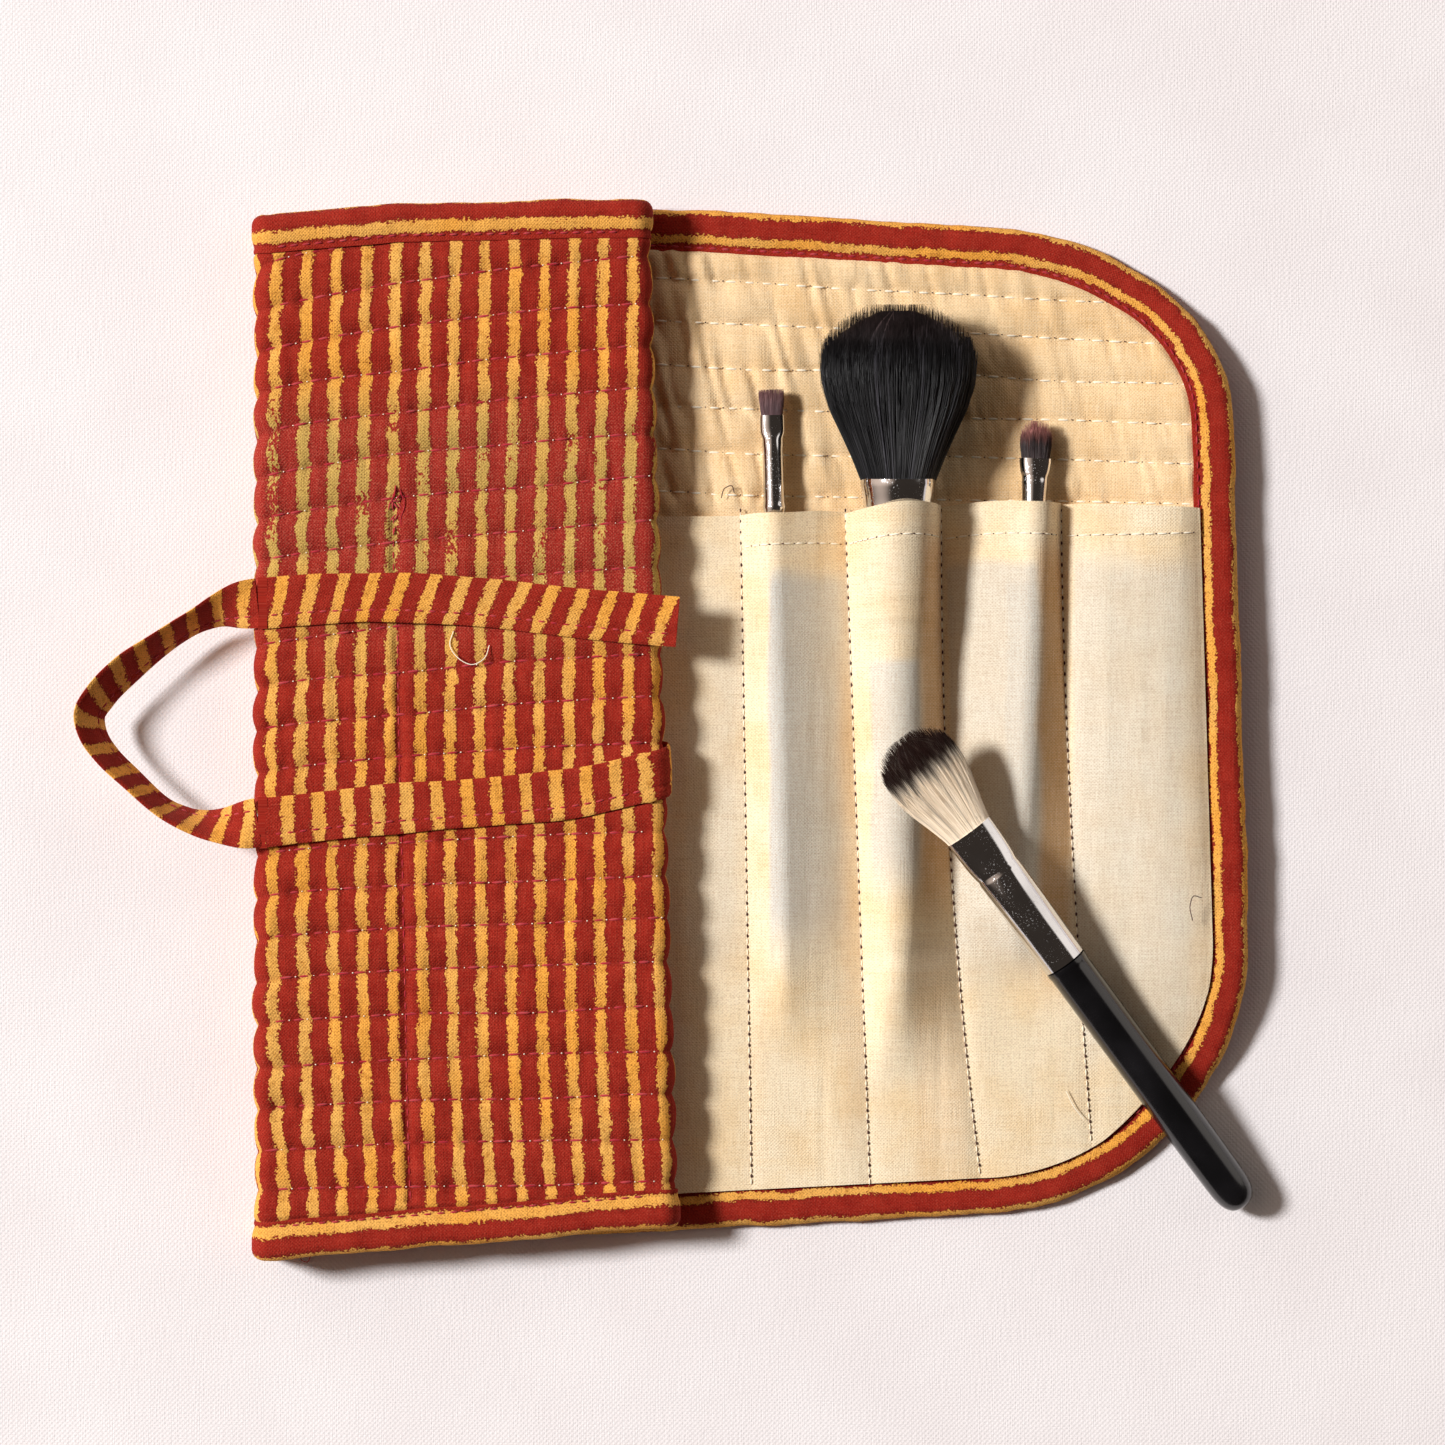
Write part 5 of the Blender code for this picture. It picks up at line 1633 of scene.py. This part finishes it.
def pocket_height(number, x, y, across):
    """The height of a pocket's cloth above the lining."""
    left, right = pocket_side(number - 1, y), pocket_side(number, y)
    creases = 0.30 * noise(x, y, 1.9 * MM, 40 * MM, 200 + number)
    creases = creases + 0.12 * noise(x, y, 2.1 * MM, 15 * MM, 220 + number)
    soft = 0.30 * noise(x, y, 12 * MM, 24 * MM, 240 + number)
    soft = soft + 0.12 * noise(x, y, 26 * MM, 4.5 * MM, 241 + number)
    held = 1 - np.abs(2 * across - 1) ** 6
    if number in POCKET_BRUSHES:
        brush = BRUSHES[POCKET_BRUSHES[number]]
        outline = np.concatenate((brush.ferrule, brush.handle[2:]))
        end_y = brush.tip[1] - brush.length
        s = np.clip(brush.tip[1] - y, 0, brush.length - 6 * MM)
        radius = widest_below(outline, s) + POCKET_LIFT + POCKET_CLOTH
        centre_x, centre_z = brush.centre_x(y)
        over = taut(x, left, right, centre_x, centre_z - SHEET - POCKET_LIFT, radius)
        rise = smooth_step(y, end_y - 26 * MM, end_y + 4 * MM)
        slack = smooth_step(x - centre_x, radius * 0.6, radius + 3 * MM)
        creased = 0.25 + 0.75 * smooth_step(y, -50 * MM, 0 * MM) * (number == 3)
        height = over * rise + (0.5 * (1 - rise) + slack * creases * creased + soft * 0.7) * held * MM
    elif number == 5:
        arch = 1 - np.abs(2 * across - 1) ** 3
        down = (POCKET_TOP - y) / (POCKET_TOP - POCKET_BOTTOM)
        height = EMPTY_RISE * arch * smooth_step(1.45 * (1 - down)) + (0.25 * creases + soft) * held * MM
    else:
        height = (0.4 + creases * 0.4 + soft * 0.6) * held * MM
    return np.maximum(height, 0.0)


# How far each pocket's mouth lies above the mouths' line: at its left, middle and right.
MOUTHS = {
    1: (-2.8, -2.4, -2.2),
    2: (-2.2, -1.3, -1.6),
    3: (-1.6, 0.6, 0.2),
    4: (-0.4, 1.0, 0.3),
    5: (0.3, 0.1, -0.5),
}


def mouth_shift(number, across):
    """How far a pocket's mouth lies above the mouths' line, across the pocket."""
    left, middle, right = MOUTHS[number]
    bulge = middle - (left + right) / 2
    return (left + (right - left) * across + bulge * (1 - (2 * across - 1) ** 2)) * MM


def make_pocket(number):
    """One pocket's cloth, from seam to seam and from its hemmed mouth to the binding."""
    rows, columns = 190, 70 if number > 1 else 90
    across = np.linspace(0, 1, columns)[None] * np.ones((rows, 1))
    down = np.linspace(0, 1, rows)[:, None]
    left, right = pocket_side(number - 1, np.zeros(1)), pocket_side(number, np.zeros(1))
    guess = left * (1 - across) + right * across
    y = POCKET_TOP + (pocket_floor_y(guess) - POCKET_TOP) * down
    for _ in range(2):
        x = pocket_side(number - 1, y) * (1 - across) + pocket_side(number, y) * across
        y = POCKET_TOP + (pocket_floor_y(x) - POCKET_TOP) * down
    x = pocket_side(number - 1, y) * (1 - across) + pocket_side(number, y) * across
    height = pocket_height(number, x, y, across)
    ghost, warm = through_cloth(number, x, y)
    groove = np.exp(-((np.minimum(across, 1 - across) * 24 * MM / (0.9 * MM)) ** 2))
    height = height * (1 - 0.35 * groove)
    hem = smooth_step(POCKET_TOP - y, HEM + 0.3 * MM, HEM - 0.2 * MM)
    hem_seam = np.exp(-(((POCKET_TOP - y - HEM + 0.9 * MM) / (0.6 * MM)) ** 2))
    height = height + (0.28 * hem - 0.3 * hem_seam) * MM
    wave = 0.35 * MM * noise(x, 0 * x, 9 * MM, 1.0, 280 + number)
    depth = POCKET_TOP - y
    y = y + wave * smooth_step(depth, 12 * MM, 0)
    y = y + mouth_shift(number, across) * smooth_step(depth, 45 * MM, 0)
    level = SHEET + POCKET_LIFT
    top = np.stack((x, y, level + POCKET_CLOTH + height), -1)
    low = np.stack((x, y, level + height), -1)
    piece = slab(
        "pocket_%d" % number,
        top,
        low,
        (LOOKS["pocket"], LOOKS["pocket"]),
        np.stack((x, y), -1),
        attributes={"ghost": ghost, "warm": warm, "fade": 0 * warm},
    )
    lay_on_table(piece)
    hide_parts("pocket_panel_%d" % number)
    if number > 1:
        hem_stitches(number, x, y, level + POCKET_CLOTH + height, depth)


def hem_stitches(number, x, y, z, depth):
    """The row of stitches that holds a pocket's hem, with the dots where its bobbin thread shows."""
    row = int(np.argmin(np.abs(depth[:, 5] - HEM + 0.9 * MM)))
    line = np.stack((x[row], y[row], z[row]), -1)[2:-2]
    at = length_along(line)
    pitch = 3.0 * MM
    fine = np.arange(pitch / 2, at[-1], pitch)
    places = np.stack([np.interp(fine, at, line[:, k]) for k in range(3)], -1)
    ahead = np.stack([np.interp(fine + 0.5 * MM, at, line[:, k]) for k in range(3)], -1)
    behind = np.stack([np.interp(fine - 0.5 * MM, at, line[:, k]) for k in range(3)], -1)
    alongs = ahead - behind
    ups = np.cross(alongs, (0.0, 1.0, 0.0)) * -1
    ups = np.where(ups[:, 2:] < 0, -ups, ups)
    cream, dark = LOOKS["cream_thread"], LOOKS["dark_thread"]
    raised = places + unit(ups) * 0.12 * MM
    gaps = places + unit(alongs) * pitch / 2
    thread = stitches("hem_stitches_%d" % number, raised, alongs, ups, 2.5 * MM, 0.2 * MM, cream)
    dots = stitches("hem_dots_%d" % number, gaps, alongs, ups, 0.5 * MM, 0.16 * MM, dark)
    for piece in (thread, dots):
        lay_on_table(piece)


def make_divider_stitches():
    """The rows of red and cream stitches between the pockets."""
    for number, seam in enumerate(SEAMS, 1):
        pitch = 2.5 * MM
        bottom = float(pocket_floor_y(seam_x(seam, np.array(POCKET_BOTTOM)))) + 1 * MM
        y = np.arange(POCKET_TOP - 1 * MM, bottom, -pitch)
        x = seam_x(seam, y)
        z = np.full(y.shape, SHEET + POCKET_LIFT + POCKET_CLOTH + 0.3 * MM)
        places = np.stack((x, y, z), -1)
        alongs = np.stack((np.gradient(x), np.gradient(y), 0 * x), -1)
        ups = upward(len(y))
        name = "divider_%d_red_stitches" % number
        red = stitches(name, places, alongs, ups, 0.9 * MM, 0.2 * MM, LOOKS["dark_thread"])
        pale = stitches(
            "divider_%d_pale_stitches" % number,
            places - np.array((0, pitch / 2, 0)),
            alongs,
            ups,
            1.5 * MM,
            0.15 * MM,
            LOOKS["cream_thread"],
        )
        for piece in (red, pale):
            lay_on_table(piece)
        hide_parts("divider_stitching_%d" % number)


def make_hidden_pocket_cloth():
    """The pocket cloth where it goes up the left fold and over the flap's lining."""
    clear = 1.2 * MM
    on_fold = START["left_fold"] + clear, START["upper_left_bend"] - clear
    on_flap = START["flap"] + clear, START["flap"] + 29.3 * MM
    for name, (first, last), section in (
        ("left_fold_pocket_cloth", on_fold, SECTIONS[1]),
        ("flap_pocket_cloth", on_flap, SECTIONS[3]),
    ):
        s = np.linspace(first, last, 24)[None] * np.ones((140, 1))
        y = np.linspace(LEFT_BOTTOM + POCKET_MARGIN + 3 * MM, POCKET_TOP, 140)[:, None] * np.ones((1, 24))
        wave = 0.15 * MM * noise(s, y, 5 * MM, 22 * MM, 301)
        outer = sweep(s, y, -POCKET_LIFT - POCKET_CLOTH - wave)
        inner = sweep(s, y, -POCKET_LIFT - wave)
        zero = np.zeros(s.shape)
        piece = slab(
            name + "_sheet",
            outer,
            inner,
            (LOOKS["pocket"], LOOKS["pocket"]),
            np.stack((s, y), -1),
            attributes={"ghost": zero, "warm": zero},
        )
        join_bodies(piece, section)
        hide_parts(name)


# ---------------------------------------------------------------- the tie
TIE_COLUMNS = 25


def tie_section():
    """Across the tie: position from edge to edge, and half thickness with the topstitched groove
    above the lower edge and a crease of the fold below it."""
    v = np.linspace(-1, 1, TIE_COLUMNS)
    crown = (1 - np.abs(v) ** 8) ** 0.5 * 0.8 + 0.2
    seam = np.exp(-(((v + 0.5) / 0.05) ** 2))
    crease = np.exp(-(((v + 0.78) / 0.05) ** 2))
    return v, crown, seam + 0.5 * crease


def tie_grids(place, length, seed, slant):
    """place maps offset across and up at each point along the tie to the world."""
    v, crown, groove = tie_section()
    along = length[None] * np.ones((len(v), 1))
    wide = v[:, None] * TIE_WIDTH / 2 * np.ones_like(along)
    waves = 0.18 * noise(along, wide, 7 * MM, 5 * MM, seed)
    waves = waves + 0.1 * noise(along, wide, 2.6 * MM, 9 * MM, seed + 1)
    edge = 0.22 * MM * noise(along, 0 * along, 12 * MM, 1.0, seed + 2) * np.sign(v)[:, None]
    thick = TIE_THICK / 2 * crown[:, None] * np.ones_like(along)
    top = thick + (waves - 0.22 * groove[:, None]) * MM * crown[:, None]
    uv = np.stack((along + wide * slant, wide), -1)
    across = wide + edge * np.abs(v)[:, None]
    return place(across, top), place(across, -thick), uv


def tie_piece(name, grids, part=slice(None)):
    outer, inner, uv = grids
    piece = slab(
        name,
        outer[:, part],
        inner[:, part],
        (LOOKS["tie"], LOOKS["tie"]),
        uv[:, part],
        normals=(grid_normals(outer)[:, part], grid_normals(inner)[:, part]),
        attributes={"fade": np.zeros(outer[:, part].shape[:2])},
    )
    return piece


def tie_stitches(name, place, length, body):
    """The topstitching along the tie."""
    pitch = 2.8 * MM
    fine = np.arange(length[0] + pitch, length[-1] - pitch / 2, pitch)
    spot = np.full((1, len(fine)), -0.5 * TIE_WIDTH / 2)
    level = np.full((1, len(fine)), TIE_THICK / 2 - 0.1 * MM)
    middle = place(spot, level, fine)[0]
    alongs = place(spot, level, fine + 0.3 * MM)[0] - place(spot, level, fine - 0.3 * MM)[0]
    ups = place(spot, level + 0.3 * MM, fine)[0] - middle
    thread = stitches(name, middle, alongs, ups, 1.9 * MM, 0.22 * MM, LOOKS["red_thread"])
    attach(thread, body)


def make_tie_wrap():
    """The tie from the loop over the flap, round the right fold and in under it."""
    first = max(START["flap"] + (TIE_LOWER_X[0] - FOLD_X), START["flap"] - 0.7 * MM)
    inside = COLUMNS > START["flap"]
    s = np.concatenate(([first], COLUMNS[inside]))
    end_s = START["end_flap"]
    route = curve_through(TIE_LOWER, 60) * MM

    def centre_y(along):
        x = FOLD_X + (along - START["flap"]) / FLAP_WIDTH * (right_edge(-16 * MM) - FOLD_X)
        y = np.interp(x, route[:, 0], route[:, 1])
        wrapped = np.interp(
            along,
            (START["right_upper_bend"], START["right_fold"], end_s, end_s + 39 * MM),
            (-13.0 * MM, -11.4 * MM, -10.2 * MM, 0.4 * MM),
        )
        return np.where(along > START["right_upper_bend"], wrapped, y)

    def place(across, up, along=s):
        return sweep(along[None] * np.ones_like(across), centre_y(along)[None] + across, TIE_CENTRE + up)

    grids = tie_grids(place, s, 400, 0.05)
    names = {
        "flap": "tie_lower_run",
        "right_upper_bend": None,
        "right_fold": "tie_wrap",
        "right_lower_bend": None,
        "end_flap": "tie_inner_run",
    }
    for section, part in list(zip(SECTIONS, SLICES))[3:]:
        shift = len(COLUMNS) - len(s)
        lower = part.start - shift if part.start - shift > 1 else 0
        piece = tie_piece("tie_on_" + section[0], grids, slice(lower, part.stop - shift))
        join_bodies(piece, section)
        node = names[section[0]]
        if node:
            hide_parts(node)
    flap_part = np.linspace(first, START["right_upper_bend"], 40)
    tie_stitches("tie_lower_stitches", place, flap_part, "flap")


def route_place(points):
    """Places on a ribbon along a route of (x, y, z, tilt)."""
    fine = curve_through(points, 160)
    at = length_along(fine[:, :3])

    def place(across, up, along):
        centre = np.stack([np.interp(along, at, fine[:, k]) for k in range(3)], -1)
        ahead = np.stack([np.interp(along + 0.4 * MM, at, fine[:, k]) for k in range(3)], -1)
        behind = np.stack([np.interp(along - 0.4 * MM, at, fine[:, k]) for k in range(3)], -1)
        tilt = np.interp(along, at, fine[:, 3])
        forward = unit(ahead - behind)
        flat = unit(np.stack((forward[:, 1], -forward[:, 0], 0 * tilt), -1))
        side = flat * np.cos(tilt)[:, None] + np.array((0, 0, 1.0)) * np.sin(tilt)[:, None]
        normal = unit(np.cross(side, forward))
        return centre[None] + across[..., None] * side[None] + up[..., None] * normal[None]

    return place, at[-1]


def make_free_run():
    """The tie from the loop over the flap to its free end."""
    height = SHEET + FLAP_Z + 0.8 * MM
    points = [(x * MM, y * MM, height + lift * MM, 0.0) for x, y, lift in reversed(TIE_FREE)]
    place, length = route_place(points)
    along = np.linspace(0, length, 120)
    grids = tie_grids(lambda across, up: place(across, up, along), along, 420, 0.3)
    piece = tie_piece("tie_free_end", grids)
    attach(piece, "flap")
    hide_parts("tie_free_run")
    tie_stitches("tie_free_stitches", place, along, "flap")


# Where the loop's ends join the stretches on the flap.
LOOP_JOIN_X = -109.8 * MM
# The loop's middle line: across, up the sheet, height over the flap's face, and how far it tilts.
LOOP = (
    (-111.9, 26.6, 0.0, 0),
    (-116.0, 26.1, -0.9, 22),
    (-120.5, 25.1, -3.0, 48),
    (-125.5, 22.9, -4.2, 62),
    (-130.5, 20.1, -4.4, 64),
    (-135.0, 17.0, -4.3, 61),
    (-142.6, 11.2, -4.2, 53),
    (-148.2, 5.4, -4.5, 54),
    (-150.6, 1.3, -4.6, 56),
    (-149.8, -3.3, -4.6, 60),
    (-146.6, -8.2, -4.6, 64),
    (-141.0, -13.6, -4.6, 67),
    (-132.4, -20.8, -4.5, 68),
    (-125.5, -23.6, -4.2, 60),
    (-119.5, -24.2, -2.6, 42),
    (-115.5, -24.0, -0.8, 20),
    (-111.9, -23.4, 0.0, 0),
)


def make_loop():
    """The tie's loop outside the flap, and the turns that join it to the stretches on the flap."""
    height = SHEET + FLAP_Z + 0.8 * MM
    points = [(x * MM, y * MM, height + z * MM, math.radians(tilt)) for x, y, z, tilt in LOOP]
    place, length = route_place(points)
    along = np.linspace(0, length, 200)
    grids = tie_grids(lambda across, up: place(across, up, along), along, 440, 0.25)
    piece = tie_piece("tie_loop_strip", grids)
    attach(piece, "tie_loop")
    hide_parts("tie_loop")
    tie_stitches("tie_loop_stitches", place, along, "tie_loop")
    for name, y in (("upper", LOOP[0][1] * MM), ("lower", LOOP[-1][1] * MM)):
        short = np.linspace(LOOP[0][0] * MM, LOOP_JOIN_X, 9)

        def joint_place(across, up, x=short, y=y):
            return np.stack(np.broadcast_arrays(x[None], y + across, height + up), -1)

        grids = tie_grids(joint_place, short - short[0], 460, 0.2)
        grids[2][..., 0] = 0.0
        piece = tie_piece("tie_turn_" + name, grids)
        start, end = (LOOP_JOIN_X, y, height), (LOOP[0][0] * MM, y, height)
        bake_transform(piece)
        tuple(start)
        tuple(end)


# ---------------------------------------------------------------- floor, light and camera
def make_floor():
    n = Nodes("pale_canvas")
    place = n.add("ShaderNodeTexCoord").outputs["Object"]
    millimetres = n.add("ShaderNodeMapping")
    n.join(place, millimetres.inputs["Vector"])
    millimetres.inputs["Scale"].default_value = (1000, 1000, 1000)
    parts = n.add("ShaderNodeSeparateXYZ")
    n.join(millimetres.outputs[0], parts.inputs[0])
    threads = n.weave(millimetres.outputs[0], parts.outputs[0], parts.outputs[1], 1.7)
    tone = n.noise(millimetres.outputs[0], 0.03, 3.0)
    colour = n.mix(n.ramp(tone, 0.3, 0.7), srgb(241, 236, 237), srgb(237, 231, 232))
    n.finish(colour, 0.9, threads, 0.00009)
    mesh = bpy.data.meshes.new("floor")
    half = 3.0
    corners = [(-half, -half, 0), (half, -half, 0), (half, half, 0), (-half, half, 0)]
    mesh.from_pydata(corners, [], [(0, 1, 2, 3)])
    mesh.materials.append(n.material)
    floor = bpy.data.objects.new("floor", mesh)
    bpy.context.scene.collection.objects.link(floor)


ROOM_STRENGTH = 0.27
WINDOW_WATTS = 318.0
WINDOW_DISTANCE = 5.0


def make_light():
    """A large window far to the left, and a dim warm room that is lightest on that side, with a
    pale wall low on the right for the metal to mirror."""
    world = bpy.data.worlds.new("soft_room")
    world.use_nodes = True
    tree = world.node_tree
    back = tree.nodes["Background"]
    place = tree.nodes.new("ShaderNodeTexCoord").outputs["Generated"]

    def toward(direction, start, end, low, high):
        dot = tree.nodes.new("ShaderNodeVectorMath")
        dot.operation = "DOT_PRODUCT"
        tree.links.new(place, dot.inputs[0])
        dot.inputs[1].default_value = direction
        ramp = tree.nodes.new("ShaderNodeMapRange")
        ramp.interpolation_type = "SMOOTHSTEP"
        tree.links.new(dot.outputs["Value"], ramp.inputs[0])
        for value, socket in zip((start, end, low, high), ramp.inputs[1:5]):
            socket.default_value = value
        return ramp.outputs[0]

    left = toward((-0.82, 0.28, 0.50), 0.60, 0.97, 0.14, 2.8)
    wall = toward((0.78, 0.50, 0.37), 0.89, 0.94, 0.0, 3.6)
    both_walls = tree.nodes.new("ShaderNodeAddShader")
    for number, (ramp, colour) in enumerate(((left, srgb(255, 228, 208)), (wall, srgb(255, 246, 238)))):
        strength = tree.nodes.new("ShaderNodeMath")
        strength.operation = "MULTIPLY"
        tree.links.new(ramp, strength.inputs[0])
        strength.inputs[1].default_value = ROOM_STRENGTH
        side = back if number == 0 else tree.nodes.new("ShaderNodeBackground")
        side.inputs["Color"].default_value = (*colour, 1.0)
        tree.links.new(strength.outputs[0], side.inputs["Strength"])
        tree.links.new(side.outputs[0], both_walls.inputs[number])
    tree.links.new(both_walls.outputs[0], tree.nodes["World Output"].inputs["Surface"])
    bpy.context.scene.world = world
    data = bpy.data.lights.new("window", "AREA")
    data.shape = "DISK"
    data.size = 1.0
    data.energy = WINDOW_WATTS
    light = bpy.data.objects.new("window", data)
    aim = Vector((-0.71, 0.20, 0.68)).normalized()
    light.location = aim * WINDOW_DISTANCE
    light.rotation_euler = (-aim).to_track_quat("-Z", "Y").to_euler()
    bpy.context.scene.collection.objects.link(light)
    bpy.context.scene.view_settings.view_transform = "Standard"


def make_camera():
    data = bpy.data.cameras.new("camera")
    data.lens = 217.0
    data.sensor_width = 36.0
    camera = bpy.data.objects.new("camera", data)
    camera.location = (-6.1 * MM, -0.6 * MM, 2.0)
    bpy.context.scene.collection.objects.link(camera)
    bpy.context.scene.camera = camera


for old in [o for o in bpy.data.objects if o.type in ("LIGHT", "CAMERA")]:
    bpy.data.objects.remove(old, do_unlink=True)
for old in [o for o in bpy.data.objects if o.type == "MESH" and "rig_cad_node" not in o]:
    bpy.data.objects.remove(old, do_unlink=True)
make_camera()
make_light()
make_floor()
make_folded_sheet()
make_strip_bindings()
make_base_quilt()
make_base_binding()
make_end_binding()
make_quilting_stitches()
make_end_seam()
make_lining_stitches()
make_loose_threads()
for design in BRUSHES.values():
    make_brush(design)
for pocket_number in range(1, 6):
    make_pocket(pocket_number)
make_divider_stitches()
make_hidden_pocket_cloth()
make_tie_wrap()
make_free_run()
make_loop()
